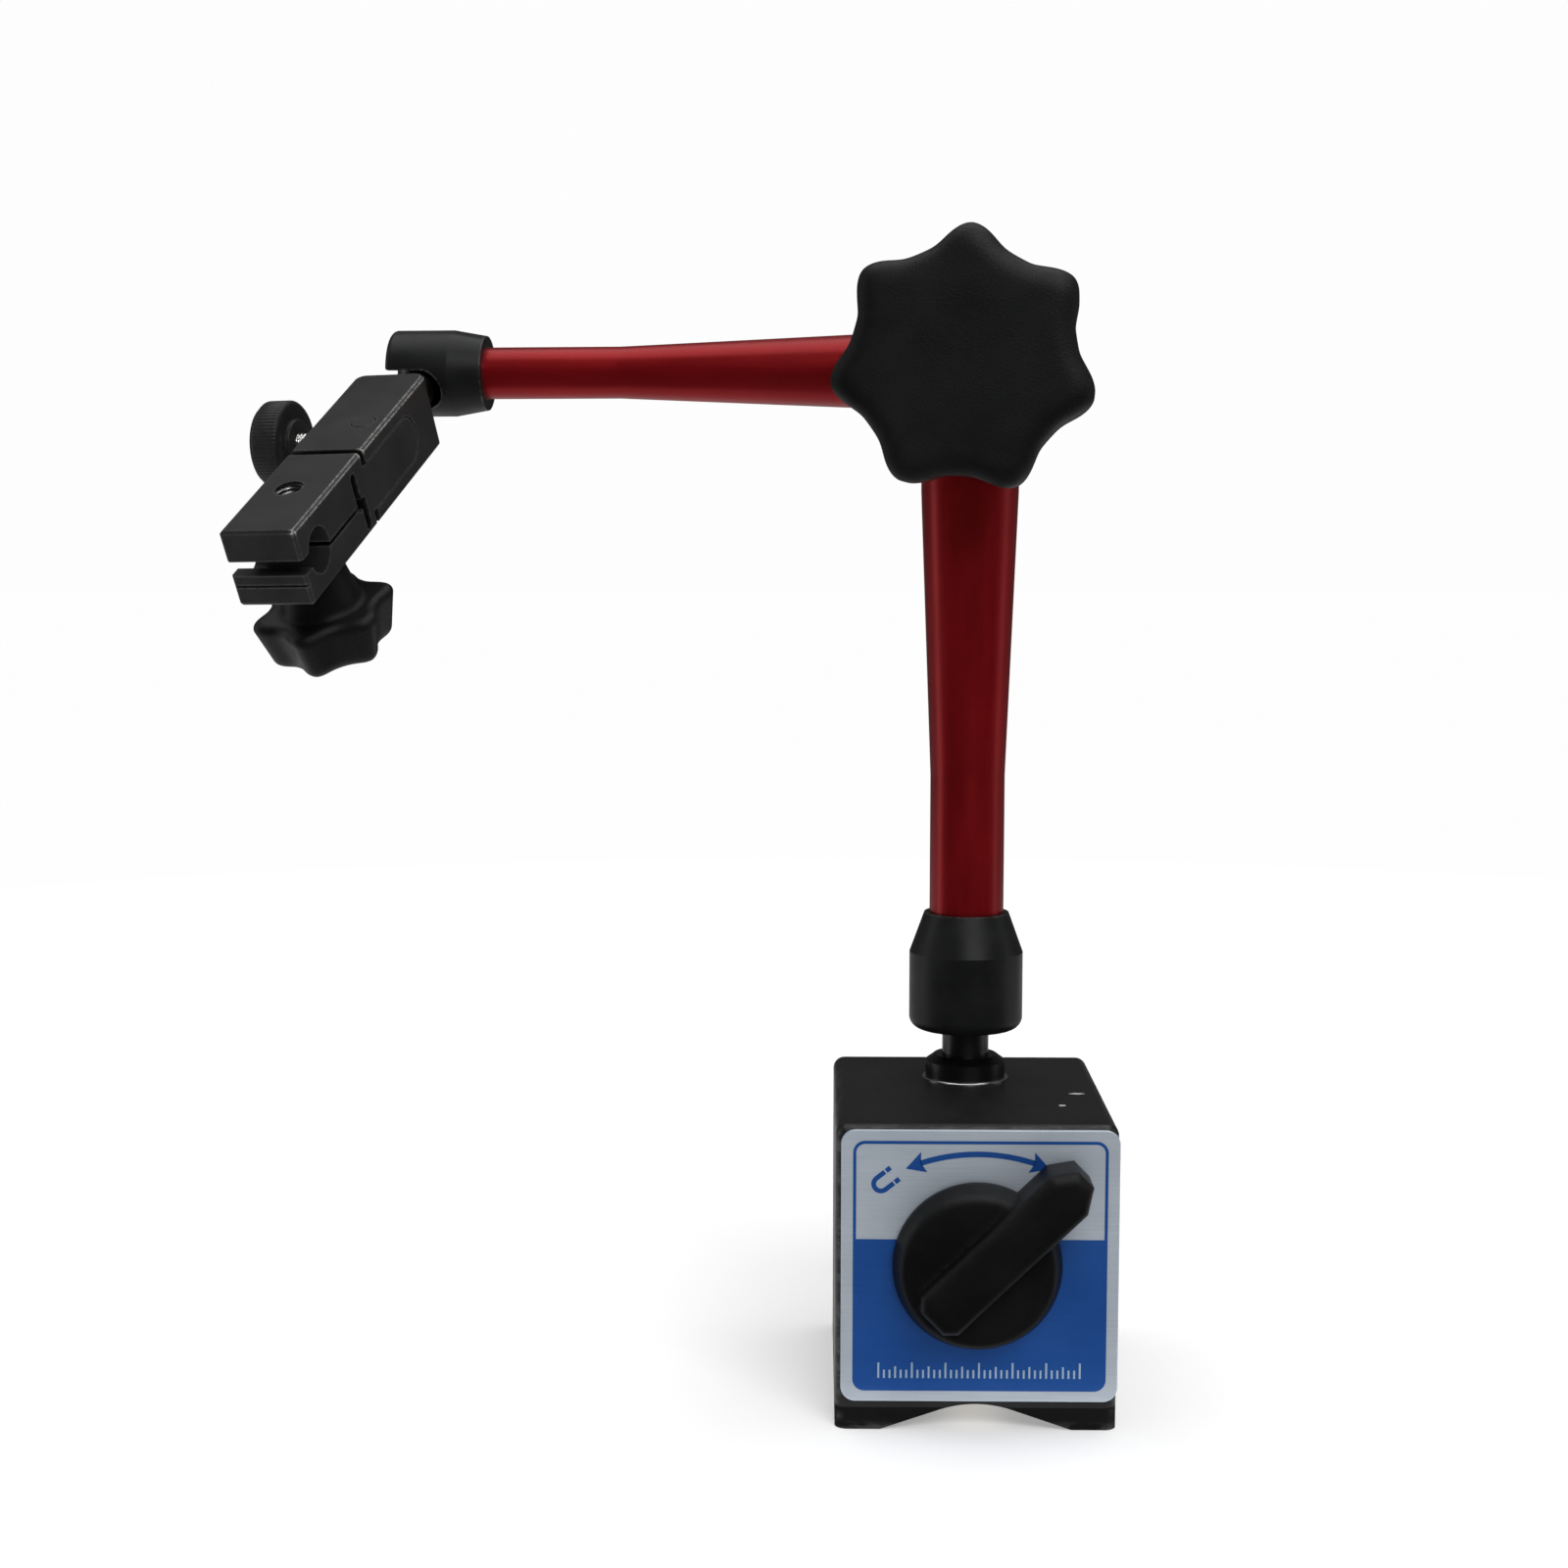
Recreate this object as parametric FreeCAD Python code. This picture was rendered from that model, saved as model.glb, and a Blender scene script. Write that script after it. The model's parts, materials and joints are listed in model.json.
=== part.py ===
"""Magnetic base stand with a two-link arm, locked by one central knob, and a fine-adjusting clamp head.

Millimetres, +Z up.  The origin is on the table plane, on the axis of the post.  -Y is the switch side.
"""
import FreeCAD
import Part
import math
import os

from FreeCAD import Placement, Rotation, Vector

# ---------------------------------------------------------------- driving dimensions
# magnetic base
BASE_W = 50.0
BASE_H = 55.0
BASE_FRONT = 40.0          # from the post axis to the front face
BASE_BACK = 20.0           # from the post axis to the back face
BASE_EDGE = 2.2            # rounding of the base's edges
VEE_W = 34.0               # vee groove along Y in the underside
VEE_APEX = 5.8             # height where its two sides would meet
VEE_ROUND = 20.0           # radius that rounds the apex down
DIVIDER_T = 2.0
ROTOR_Z = 30.2             # height of the switch axis
ROTOR_BORE = 14.5
ROTOR_R = 14.42
CAP_T = 3.0
CAP_GAP = 0.4              # from each end cap to the rotor
CAP_FLOOR = 1.0            # left in the rear end cap, behind the spindle
MAGNET_T = 10.0
SPACER_LEN = 4.0
RIVET_INSET = 7.0          # from the base's front and back faces
RIVET_LOW = 10.4
RIVET_HIGH = 48.6
PLATE_W = 49.0
PLATE_H = 49.0
PLATE_T = 0.6
PLATE_Z = 29.8
PLATE_X = 0.5              # the plate sits a little to the right
PLATE_CORNER = 2.6
PLATE_EDGE = 0.25
PLATE_BORE_R = 4.6
SPINDLE_R = 4.0
SPINDLE_BACK = 1.2         # from the base's back face to the spindle's end
RIVET_R = 2.0

# switch knob
SWITCH_R = 14.9
SWITCH_FRONT_R = 13.4
SWITCH_DISC_T = 5.0
SWITCH_RIM = 1.2           # upright part of the disc's side, at its back
SWITCH_EDGE = 1.0
SWITCH_GAP = 0.4
BAR_T = 9.6                # height of the grip bar, from the knob's back
BAR_W = 9.3
BAR_EDGE = 1.5             # rounding of its top edges
BAR_REACH = 25.2           # from the switch axis to the pointed end
BAR_TAIL = 11.6            # and to the other end
BAR_NOSE = 4.0             # length over which the pointed end narrows
BAR_NOSE_SHARE = 0.42      # width left at that end
BAR_HEEL = 2.0             # the same, at the other end
BAR_HEEL_SHARE = 0.6
POINTER_ANGLE = 44.0       # from +X, in the off position
STOP_AT = 8.5              # from the switch axis to the stop pin
STOP_PIN_R = 1.25
STOP_PIN_OUT = 2.2         # from the base's face to the pin's end
STOP_GROOVE_R = 1.45       # half the width of the pin's groove in the knob
STOP_GROOVE_DEPTH = 1.6
STOP_TURN = 90.0
STOP_SPARE = 10.0          # the pin's own half width and a little more, at each end
STOP_FROM_POINTER = 225.0  # from the pointer round to the pin, in the off position
SPINDLE_IN_KNOB = 5.0
SET_SCREW_R = 1.5
SET_SCREW_LEN = 8.3
SET_SCREW_DEPTH = 3.2      # from the knob's back face to the screw's axis

# ball joints
LOWER_BALL_Z = 72.2
LOWER_BALL_R = 7.6
LOWER_NECK_R = 4.4
COLLAR_R = 7.55
COLLAR_H = 4.6
COLLAR_BEVEL_R = 1.6       # the collar's top edge is bevelled this far in
COLLAR_BEVEL_H = 1.2       # and this far down
STUD_THREAD_R = 4.0
STUD_DEPTH = 9.6
STUD_END_GAP = 0.5         # below the stud's thread, in its hole
STUD_CHAMFER = 0.6
STUD_RING_R = 8.2
STUD_RING_T = 0.4
LOWER_SOCKET_R = 10.75
LOWER_SOCKET_END = 7.6     # from the ball's centre to the open end
LOWER_SOCKET_LEN = 22.3
LOWER_SPIGOT_R = 6.0       # end of the lower tube, inside its socket
LOWER_SPIGOT_LEN = 5.0
LOWER_SOCKET_TOP_R = 8.0   # where it meets the tube
LOWER_MOUTH_R = 8.0        # of the flared mouth, at its open end
LOWER_LIP_R = 6.4          # of the lip that keeps the ball in
LOWER_SOCKET_EDGE = 2.4
LOWER_PAD_TOP = 9.0        # from the ball's centre
UPPER_BALL_R = 6.0
UPPER_NECK_R = 3.6
UPPER_SOCKET_R = 8.1
UPPER_SOCKET_END = 6.7
UPPER_SOCKET_LEN = 18.1
UPPER_SPIGOT_LEN = 4.0
UPPER_SOCKET_TOP_R = 7.0
UPPER_MOUTH_R = 6.6
UPPER_LIP_R = 5.2
UPPER_SOCKET_EDGE = 1.2
UPPER_PAD_TOP = 7.0
UPPER_STUD_END = 6.0       # length of the stud's end, inside the rear block
UPPER_STUD_R = 3.0
UPPER_COLLAR_R = 5.0
UPPER_COLLAR_T = 2.4
UPPER_COLLAR_BEVEL_H = 1.2
SOCKET_TAPER = 0.34        # share of each socket's length that narrows to its tube
BALL_GAP = 0.05
SLOT_GAP = 0.4
NECK_OVERLAP = 0.1         # how far each neck runs on into its ball

# arms
ELBOW_Z = 188.4
ARM_YAW = 5.9              # the arm's plane, turned about Z
UPPER_REACH = 103.0        # elbow axis to the upper ball's centre
LOWER_TUBE_R = 7.0
LOWER_TUBE_TOP_R = 9.1
LOWER_TUBE_PARALLEL = 26.0
LOWER_TUBE_BORE = 5.0
UPPER_TUBE_R = 4.85
UPPER_TUBE_ROOT_R = 6.75
UPPER_TAPER_END = 66.0
TUBE_ROOT = 22.4           # from the elbow axis to the end of each tube
LOWER_ROOT_BORE = 6.4      # each elbow housing's spigot sits in its tube's root
UPPER_ROOT_BORE = 5.2
ROOT_SPIGOT_LEN = 5.8
SPIGOT_GAP = 0.2           # behind the end of a spigot
ROD_R = 2.0
ROD_PLANE = 3.2            # each push rod's offset from the arm's plane, at the elbow
ROD_CLEARANCE = 0.3
UPPER_TUBE_BORE = 3.3      # along its parallel length
UPPER_TAPER_BORE = 4.9     # where its bore starts to narrow, at the root
LOWER_ROD_END = -(ELBOW_Z - LOWER_BALL_Z - LOWER_PAD_TOP - ROD_R)   # from the elbow axis
UPPER_ROD_END = -(UPPER_REACH - UPPER_PAD_TOP - ROD_R)

# elbow
DISC_R = 15.0
DISC_T = 10.0
DISC_BEVEL = 0.8
DISC_SWEEP_R = 15.4        # room for the other half's disc, in each neck
LAP_GAP = 0.2
FRICTION_R = 14.0
FRICTION_BORE = 8.5
CAVITY_R = 6.6             # room for the cones
CAVITY_END = 6.4
CONE_BIG_R = 6.0
CONE_SMALL_R = 3.9
CONE_LEN = 4.0
LOWER_CONE_Y = -5.2        # where each cone's small end starts
UPPER_CONE_Y = 1.2
CONE_NECK = 0.6            # length of the waist beside each cone
BOLT_R = 4.0
BOLT_LOOSE = 0.1           # radial clearance of the draw bolt's plain length
BOLT_GUIDE_R = 6.3
BOLT_GUIDE_Y = 5.6         # where the guide starts
BOLT_HEAD_R = 9.0
BOLT_HEAD_T = 4.5
BOLT_HEAD_RIM = 2.3        # thickness at the head's edge
BOLT_CROWN_R = 6.8         # where the head's bevel ends
BOLT_CROWN_H = 3.9
BOLT_HEX_R = 3.0
BOLT_HEX_DEPTH = 3.0
BOLT_CHAMFER = 0.6
BOLT_STEP = 0.8            # length over which the shank narrows to the lower cone
BOLT_SHOULDER = 1.1        # from the housing's face to the underside of the bolt's head
BOLT_END = 26.0
CONED_BORE = 6.6           # coned spring washer
CONED_R = 8.8
CONED_T = 0.6
CONED_RISE = 0.5
KEY_R = 1.0
KEY_Y = 8.2
KEY_INNER = 5.2            # from the elbow axis to the key pin's ends
KEY_OUTER = 13.5
KEY_SLOT_INNER = 5.0
KEY_SLOT_OUTER = 8.0
KEY_SLOT_START = 5.0
KEY_SLOT_END = 11.0
KEY_SLOT_GAP = 0.1
THRUST_R = 9.5
THRUST_T = 0.9
KNOB_TIP_R = 23.6
KNOB_VALLEY_R = 19.9
KNOB_LOBES = 7
KNOB_TURN = 3.0            # as it stands, clockwise from a lobe straight up
KNOB_BACK = 14.4
KNOB_FRONT = 32.6
KNOB_EDGE = 2.4
KNOB_POINT = 1.5           # how pointed the lobes are
KNOB_HUB_R = 10.0
KNOB_HUB_ROOT_R = 11.5
KNOB_HUB_START = 11.2
INSERT_R = 6.5
INSERT_END = 27.0
BOLT_ROOM = 0.5            # radial, in the knob past the insert
BOLT_ROOM_LEN = 1.2

# clamp head
HEAD_AZIMUTH = 15.4        # the head points at the viewer, turned and dropped by these
HEAD_DROP = 28.3
HEAD_ROLL = 1.2
HEAD_W = 14.0
HEAD_T = 14.1
HEAD_BEVEL = 0.5
REAR_CORNER = 2.2          # rounding of the rear block's upright corners
NECK_LEN = 15.0            # ball's centre to the rear block's rear face
REAR_LEN = 31.2
HEAD_LEN = 61.2
JOINT_GAP = 1.7
FORK_SLOT = 8.8
FORK_END = 9.6             # rear face to the slot's round end
FORK_WALL_X = -4.4         # inner face of the fork's closed side
TONGUE_GAP = 0.1
TONGUE_END = 10.0
TONGUE_X = -3.6
PIN_X = 2.7
PIN_AT = 20.3
PIN_R = 2.3
PIN_BEVEL = 0.3
PIN_PROUD = 0.1
FINE_AT = 14.0
FINE_R = 2.0
FINE_TIP_GAP = 0.03        # from the brass tip to the tongue
FINE_TIP_T = 1.2
FINE_TIP_R = 1.7
FINE_TIP_DOME_R = 4.0
FINE_TIP_STEM_R = 0.8
FINE_TIP_STEM_LEN = 1.8
FINE_NOSE_BORE_R = 0.85    # the hole in the screw's nose for the tip's stem
FINE_NOSE_DEPTH = 2.0
FINE_KNOB_R = 8.0
FINE_KNOB_T = 6.7
FINE_KNOB_EDGE = 0.6
FINE_HUB_R = 4.6
FINE_HUB_T = 0.8
FINE_IN_KNOB = 5.0
FINE_STEM = 7.4            # bare thread between the block and the knob
SPRING_AT = 27.5
SPRING_SEAT_X = -0.4       # bottom of the spring's blind hole in the tongue
SPRING_WIRE_R = 0.25
SPRING_COIL_R = 1.35
SPRING_PITCH = 0.9
SPRING_HOLE_R = 1.75
SPRING_GAP = 0.02
SLIT_R = 1.0
FRONT_SLIT = (37.3, -1.0, 4.2)     # distance from the rear face, and the ends of the slit across Z
REAR_SLIT = (35.7, -5.3, -1.0)
LEAF_END = 36.0            # the long slit that frees the upper jaw ends here
LEAF_LOW = -1.35
LEAF_HIGH = -0.65
NICK_LOW = -3.5            # groove across the lower jaw's front face
NICK_HIGH = -3.1
NICK_DEPTH = 0.45
STEM_AT = 54.6
STEM_R = 4.0
MOUTH_LOW = -1.3
MOUTH_HIGH = 1.4
CLAMP_AT = 45.5
CLAMP_X = -0.8
CLAMP_R = 2.45
CLAMP_TOP = 3.4            # end of the clamp screw, inside the upper jaw
CLAMP_ROOM = 0.25          # radial, in the lower jaw
WASHER_R = 5.5
WASHER_ROOM = 0.15
WASHER_T = 1.0
STAR_TIP_R = 13.0
STAR_VALLEY_R = 10.4
STAR_LOBES = 6
STAR_TURN = 5.0
STAR_TOP = 15.6
STAR_BOTTOM = 24.9
STAR_DRAFT = 0.8           # size of the bottom end, against the top
STAR_POINT = 1.3
STAR_LOW_EDGE = 2.0
STAR_HIGH_EDGE = 1.2
STAR_HUB_ROOT_R = 7.2
STAR_HUB_R = 5.5
STAR_SCREW_DEPTH = 3.0     # from the knob's bottom end to the end of its screw
RUN = 0.05                 # radial clearance of a running fit
FIT = 0.02                 # radial clearance of a fixed fit
OVER = 1.0                 # how far a cutting solid passes a face
FAR = 20.0                 # a cutting solid's end, well outside the elbow or the head

X = Vector(1, 0, 0)
Y = Vector(0, 1, 0)
Z = Vector(0, 0, 1)


# ---------------------------------------------------------------- helpers
def block(low, high):
    """A box between two corners."""
    size = Vector(*high) - Vector(*low)
    return Part.makeBox(size.x, size.y, size.z, Vector(*low))


def rod(radius, start, end):
    """A cylinder from one point to another."""
    start, end = Vector(*start), Vector(*end)
    return Part.makeCylinder(radius, (end - start).Length, start, end - start)


def cone(r_start, r_end, start, end):
    """A truncated cone from one point to another."""
    start, end = Vector(*start), Vector(*end)
    return Part.makeCone(r_start, r_end, (end - start).Length, start, end - start)


def ball(radius, centre):
    return Part.makeSphere(radius, Vector(*centre))


def turned(profile, axis_point=(0, 0, 0), axis=Z):
    """A solid of revolution.  profile is a list of (radius, distance along the axis)."""
    frame = Placement(Vector(*axis_point), Rotation(Z, axis))
    points = [Vector(radius, 0, along) for radius, along in profile]
    face = Part.Face(Part.makePolygon(points + points[:1]))
    solid = face.revolve(Vector(0, 0, 0), Z, 360)
    solid.Placement = frame.multiply(solid.Placement)
    return solid


def ring(outer, inner, start, end):
    return rod(outer, start, end).cut(rod(inner, start, end))


def rounded(solid, radius, wanted):
    """Rolls a radius along every edge that the test picks."""
    edges = [edge for edge in solid.Edges if wanted(edge)]
    return solid.makeFillet(radius, edges)


def bevelled(solid, size, wanted):
    edges = [edge for edge in solid.Edges if wanted(edge)]
    return solid.makeChamfer(size, edges)


def along(axis):
    """A test for straight edges that run along an axis."""
    def wanted(edge):
        if not isinstance(edge.Curve, Part.Line):
            return False
        return abs(edge.tangentAt(edge.FirstParameter).dot(axis)) > 0.999
    return wanted


def at_level(axis, value):
    """A test for edges that lie in the plane at this distance along an axis."""
    def wanted(edge):
        return all(abs(vertex.Point.dot(axis) - value) < 1e-3 for vertex in edge.Vertexes)
    return wanted


def star_outline(tip_r, valley_r, lobes, height, point):
    """Closed curve of a lobed knob at one height, one lobe on +Y.  A larger `point` sharpens the lobes."""
    per_lobe = 6
    edges = []
    for lobe in range(lobes):
        points = []
        for index in range(per_lobe + 1):
            turn = 2 * math.pi * (lobe - 0.5 + index / per_lobe) / lobes
            radius = valley_r + (tip_r - valley_r) * (0.5 + 0.5 * math.cos(lobes * turn)) ** point
            points.append(Vector(-radius * math.sin(turn), radius * math.cos(turn), height))
        curve = Part.BSplineCurve()
        curve.interpolate(Points=points, InitialTangent=unit(Z.cross(points[0] - Z * height)),
                          FinalTangent=unit(Z.cross(points[-1] - Z * height)))
        edges.append(curve.toShape())
    return Part.Wire(edges)


def star(tip_r, valley_r, lobes, back, front, back_edge_r, front_edge_r, point, draft=1.0):
    """A lobed knob about Z, between two heights; `draft` is the size of the back against the front."""
    back_wire = star_outline(tip_r * draft, valley_r * draft, lobes, back, point)
    front_wire = star_outline(tip_r, valley_r, lobes, front, point)
    solid = Part.makeLoft([back_wire, front_wire], True, True)
    solid = rounded(solid, front_edge_r, at_level(Z, front))
    return rounded(solid, back_edge_r, at_level(Z, back))


def slot_cut(width_r, long, into, reach):
    """A round-ended slot from a ball's centre: open along `long`, and out to the side along `into`."""
    side = into.cross(long)
    frame = FreeCAD.Matrix(side.x, into.x, long.x, 0, side.y, into.y, long.y, 0,
                           side.z, into.z, long.z, 0, 0, 0, 0, 1)
    cut = block((-width_r, 0, 0), (width_r, reach, reach))
    cut = cut.fuse(rod(width_r, (0, 0, 0), (0, reach, 0)))
    cut.Placement = Placement(frame)
    return cut


def unit(vector):
    result = Vector(vector)
    result.normalize()
    return result


# ---------------------------------------------------------------- frames
# Elbow frame: origin on the elbow axis in the arm's plane, -Y to the knob, -X along the upper arm.
ELBOW = Placement(Vector(0, 0, ELBOW_Z), Rotation(Z, -ARM_YAW))
# An arm built down along -Z comes to lie along -X.
UPPER_SWING = Rotation(Y, 90)


def head_frame():
    """Head frame: origin at the upper ball's centre, -Y along the head, X across it, Z out of its top."""
    azimuth, drop, roll = (math.radians(v) for v in (HEAD_AZIMUTH, HEAD_DROP, HEAD_ROLL))
    ahead = Vector(-math.sin(azimuth) * math.cos(drop), -math.cos(azimuth) * math.cos(drop),
                   -math.sin(drop))
    level = Vector(math.cos(azimuth), -math.sin(azimuth), 0)
    top = ahead.cross(level)
    across = level * math.cos(roll) + top * math.sin(roll)
    normal = top * math.cos(roll) - level * math.sin(roll)
    centre = ELBOW.multVec(Vector(-UPPER_REACH, 0, 0))
    back = -ahead
    return Placement(FreeCAD.Matrix(across.x, back.x, normal.x, centre.x,
                                    across.y, back.y, normal.y, centre.y,
                                    across.z, back.z, normal.z, centre.z, 0, 0, 0, 1))


HEAD = head_frame()


def placed(solid, frame):
    result = solid.copy()
    result.Placement = frame.multiply(result.Placement)
    return result


# ---------------------------------------------------------------- magnetic base
def base_envelope():
    """The whole base as one block, with its vee groove and rotor bore, before it is split in three."""
    low = (-BASE_W / 2, -BASE_FRONT, 0)
    high = (BASE_W / 2, BASE_BACK, BASE_H)
    body = rounded(block(low, high), BASE_EDGE, lambda edge: along(Z)(edge) or at_level(Z, BASE_H)(edge))
    points = [Vector(-VEE_W / 2, 0, 0), Vector(0, 0, VEE_APEX), Vector(VEE_W / 2, 0, 0),
              Vector(VEE_W / 2, 0, -OVER), Vector(-VEE_W / 2, 0, -OVER)]
    vee = Part.Face(Part.makePolygon(points + points[:1]))
    vee.translate(Vector(0, -BASE_FRONT - OVER, 0))
    vee = vee.extrude(Vector(0, BASE_FRONT + BASE_BACK + 2 * OVER, 0))
    vee = rounded(vee, VEE_ROUND, lambda edge: along(Y)(edge) and at_level(Z, VEE_APEX)(edge))
    body = body.cut(vee)
    body = body.cut(rod(ROTOR_BORE, (0, -BASE_FRONT - OVER, ROTOR_Z), (0, BASE_BACK + OVER, ROTOR_Z)))
    body = body.cut(rod(STUD_THREAD_R + RUN, (0, 0, BASE_H - STUD_DEPTH), (0, 0, BASE_H + OVER)))
    for start, end in rivet_ends():
        body = body.cut(rod(RIVET_R, start, end))
    return body


def rivet_ends():
    half = BASE_W / 2
    rows = (-BASE_FRONT + RIVET_INSET, BASE_BACK - RIVET_INSET)
    return [((-half, y, z), (half, y, z)) for z in (RIVET_HIGH, RIVET_LOW) for y in rows]


def base_nodes():
    body = base_envelope()
    reach = BASE_W + BASE_H
    half = DIVIDER_T / 2
    left = body.common(block((-reach, -reach, -reach), (-half, reach, reach)))
    right = body.common(block((half, -reach, -reach), (reach, reach, reach)))
    top = body.common(block((-half, -reach, ROTOR_Z), (half, reach, reach)))
    bottom = body.common(block((-half, -reach, -reach), (half, reach, ROTOR_Z)))
    return {"pole_block_left": left, "pole_block_right": right,
            "divider_top": top, "divider_bottom": bottom}


def rivet_nodes():
    """The four rivets that tie the two pole blocks together, through the divider."""
    return {f"tie_rivet_{number}": rod(RIVET_R, start, end)
            for number, (start, end) in enumerate(rivet_ends(), start=1)}


def front_end_cap():
    cap = rod(ROTOR_BORE - FIT, (0, -BASE_FRONT, ROTOR_Z), (0, -BASE_FRONT + CAP_T, ROTOR_Z))
    return cap.cut(rod(SPINDLE_R + RUN, (0, -BASE_FRONT - OVER, ROTOR_Z), (0, 0, ROTOR_Z)))


def rear_end_cap():
    cap = rod(ROTOR_BORE - FIT, (0, BASE_BACK - CAP_T, ROTOR_Z), (0, BASE_BACK, ROTOR_Z))
    floor_y = BASE_BACK - CAP_FLOOR
    return cap.cut(rod(SPINDLE_R + RUN, (0, BASE_BACK - CAP_T - OVER, ROTOR_Z), (0, floor_y, ROTOR_Z)))


def faceplate():
    y = -BASE_FRONT
    low = (PLATE_X - PLATE_W / 2, y - PLATE_T, PLATE_Z - PLATE_H / 2)
    high = (PLATE_X + PLATE_W / 2, y, PLATE_Z + PLATE_H / 2)
    plate = rounded(block(low, high), PLATE_CORNER, along(Y))
    plate = rounded(plate, PLATE_EDGE, at_level(Y, y - PLATE_T))
    plate = plate.cut(rod(PLATE_BORE_R, (0, y - PLATE_T - OVER, ROTOR_Z), (0, y + OVER, ROTOR_Z)))
    return plate.cut(stop_pin())


def stop_pin():
    """Peg that stops the knob at both ends of its quarter turn."""
    angle = math.radians(POINTER_ANGLE + STOP_FROM_POINTER)
    x, z = STOP_AT * math.cos(angle), ROTOR_Z + STOP_AT * math.sin(angle)
    return rod(STOP_PIN_R, (x, -BASE_FRONT - STOP_PIN_OUT, z), (x, -BASE_FRONT, z))


def stud_ring():
    """Bright washer under the stud's collar."""
    bore = STUD_THREAD_R + RUN
    bevel = STUD_RING_T / 2
    washer = turned([(bore, 0), (STUD_RING_R, 0), (STUD_RING_R, bevel), (STUD_RING_R - bevel, STUD_RING_T),
                     (bore, STUD_RING_T)])
    washer.translate(Vector(0, 0, BASE_H))
    return washer


# ---------------------------------------------------------------- rotor and switch knob
def rotor_nodes():
    """A flat magnet between two half-round iron shoes, which the knob turns."""
    start, end = -BASE_FRONT + CAP_T + CAP_GAP, BASE_BACK - CAP_T - CAP_GAP
    magnet_start, magnet_end = start + SPACER_LEN, end - SPACER_LEN
    drum = rod(ROTOR_R, (0, start, ROTOR_Z), (0, end, ROTOR_Z))
    half = MAGNET_T / 2
    low, high = ROTOR_Z - half, ROTOR_Z + half
    bar = rod(SPINDLE_R + FIT, (0, start, ROTOR_Z), (0, end, ROTOR_Z))
    magnet = drum.common(block((-ROTOR_BORE, magnet_start, low), (ROTOR_BORE, magnet_end, high)))
    upper_shoe = drum.common(block((-ROTOR_BORE, start, high), (ROTOR_BORE, end, high + ROTOR_R)))
    lower_shoe = drum.common(block((-ROTOR_BORE, start, low - ROTOR_R), (ROTOR_BORE, end, low)))
    front_spacer = drum.common(block((-ROTOR_BORE, start, low), (ROTOR_BORE, magnet_start, high)))
    rear_spacer = drum.common(block((-ROTOR_BORE, magnet_end, low), (ROTOR_BORE, end, high)))
    nodes = {"rotor_magnet": magnet, "rotor_shoe_upper": upper_shoe, "rotor_shoe_lower": lower_shoe,
             "rotor_spacer_front": front_spacer, "rotor_spacer_rear": rear_spacer}
    return {name: solid.cut(bar) for name, solid in nodes.items()}


def rotor_spindle():
    front = -BASE_FRONT - PLATE_T - SWITCH_GAP - SPINDLE_IN_KNOB
    return rod(SPINDLE_R, (0, front, ROTOR_Z), (0, BASE_BACK - SPINDLE_BACK, ROTOR_Z))


def switch_knob():
    """A drafted disc with a pointed grip bar across it, and a groove in its back for the stop pin."""
    back = -BASE_FRONT - PLATE_T - SWITCH_GAP
    profile = [(0, 0), (SWITCH_R, 0), (SWITCH_R, SWITCH_RIM), (SWITCH_FRONT_R, SWITCH_DISC_T),
               (0, SWITCH_DISC_T)]
    disc = turned(profile, (0, back, 0), -Y)
    disc = rounded(disc, SWITCH_EDGE, at_level(Y, back - SWITCH_DISC_T))
    half = BAR_W / 2
    heel, nose = half * BAR_HEEL_SHARE, half * BAR_NOSE_SHARE
    lower_side = [(-BAR_TAIL, -heel), (-BAR_TAIL + BAR_HEEL, -half), (BAR_REACH - BAR_NOSE, -half),
                  (BAR_REACH, -nose)]
    upper_side = [(x, -z) for x, z in reversed(lower_side)]
    points = [Vector(x, back, z) for x, z in lower_side + upper_side]
    bar = Part.Face(Part.makePolygon(points + points[:1])).extrude(Vector(0, -BAR_T, 0))
    bar = rounded(bar, BAR_EDGE, at_level(Y, back - BAR_T))
    knob = disc.fuse(bar)
    knob = knob.removeSplitter()
    knob.rotate(Vector(0, 0, 0), Y, -POINTER_ANGLE)
    knob = knob.cut(rod(SPINDLE_R + FIT, (0, back + OVER, 0), (0, back - SPINDLE_IN_KNOB, 0)))
    groove = ring(STOP_AT + STOP_GROOVE_R, STOP_AT - STOP_GROOVE_R, (0, back + OVER, 0),
                  (0, back - STOP_GROOVE_DEPTH, 0))
    pin = POINTER_ANGLE + STOP_FROM_POINTER
    wedge = wedge_cut(pin - STOP_TURN - STOP_SPARE, pin + STOP_SPARE, back - SWITCH_DISC_T, back + OVER)
    knob = knob.cut(groove.common(wedge))
    knob.translate(Vector(0, 0, ROTOR_Z))
    return knob.cut(knob_set_screw())


def wedge_cut(start_deg, end_deg, y_low, y_high):
    """A sector about Y, from one angle to another, measured from +X towards +Z."""
    points = [Vector(0, y_low, 0)]
    steps = 6
    reach = 2 * SWITCH_R
    for index in range(steps + 1):
        angle = math.radians(start_deg + (end_deg - start_deg) * index / steps)
        points.append(Vector(reach * math.cos(angle), y_low, reach * math.sin(angle)))
    return Part.Face(Part.makePolygon(points + points[:1])).extrude(Vector(0, y_high - y_low, 0))


def knob_set_screw():
    """Headless screw that holds the knob on its spindle, in the side opposite the pointer."""
    angle = math.radians(POINTER_ANGLE + 180)
    y = -BASE_FRONT - PLATE_T - SWITCH_GAP - SET_SCREW_DEPTH
    out = Vector(math.cos(angle), 0, math.sin(angle))
    start = Vector(0, y, ROTOR_Z) + out * SPINDLE_R
    return Part.makeCylinder(SET_SCREW_R, SET_SCREW_LEN, start, out)


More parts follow.
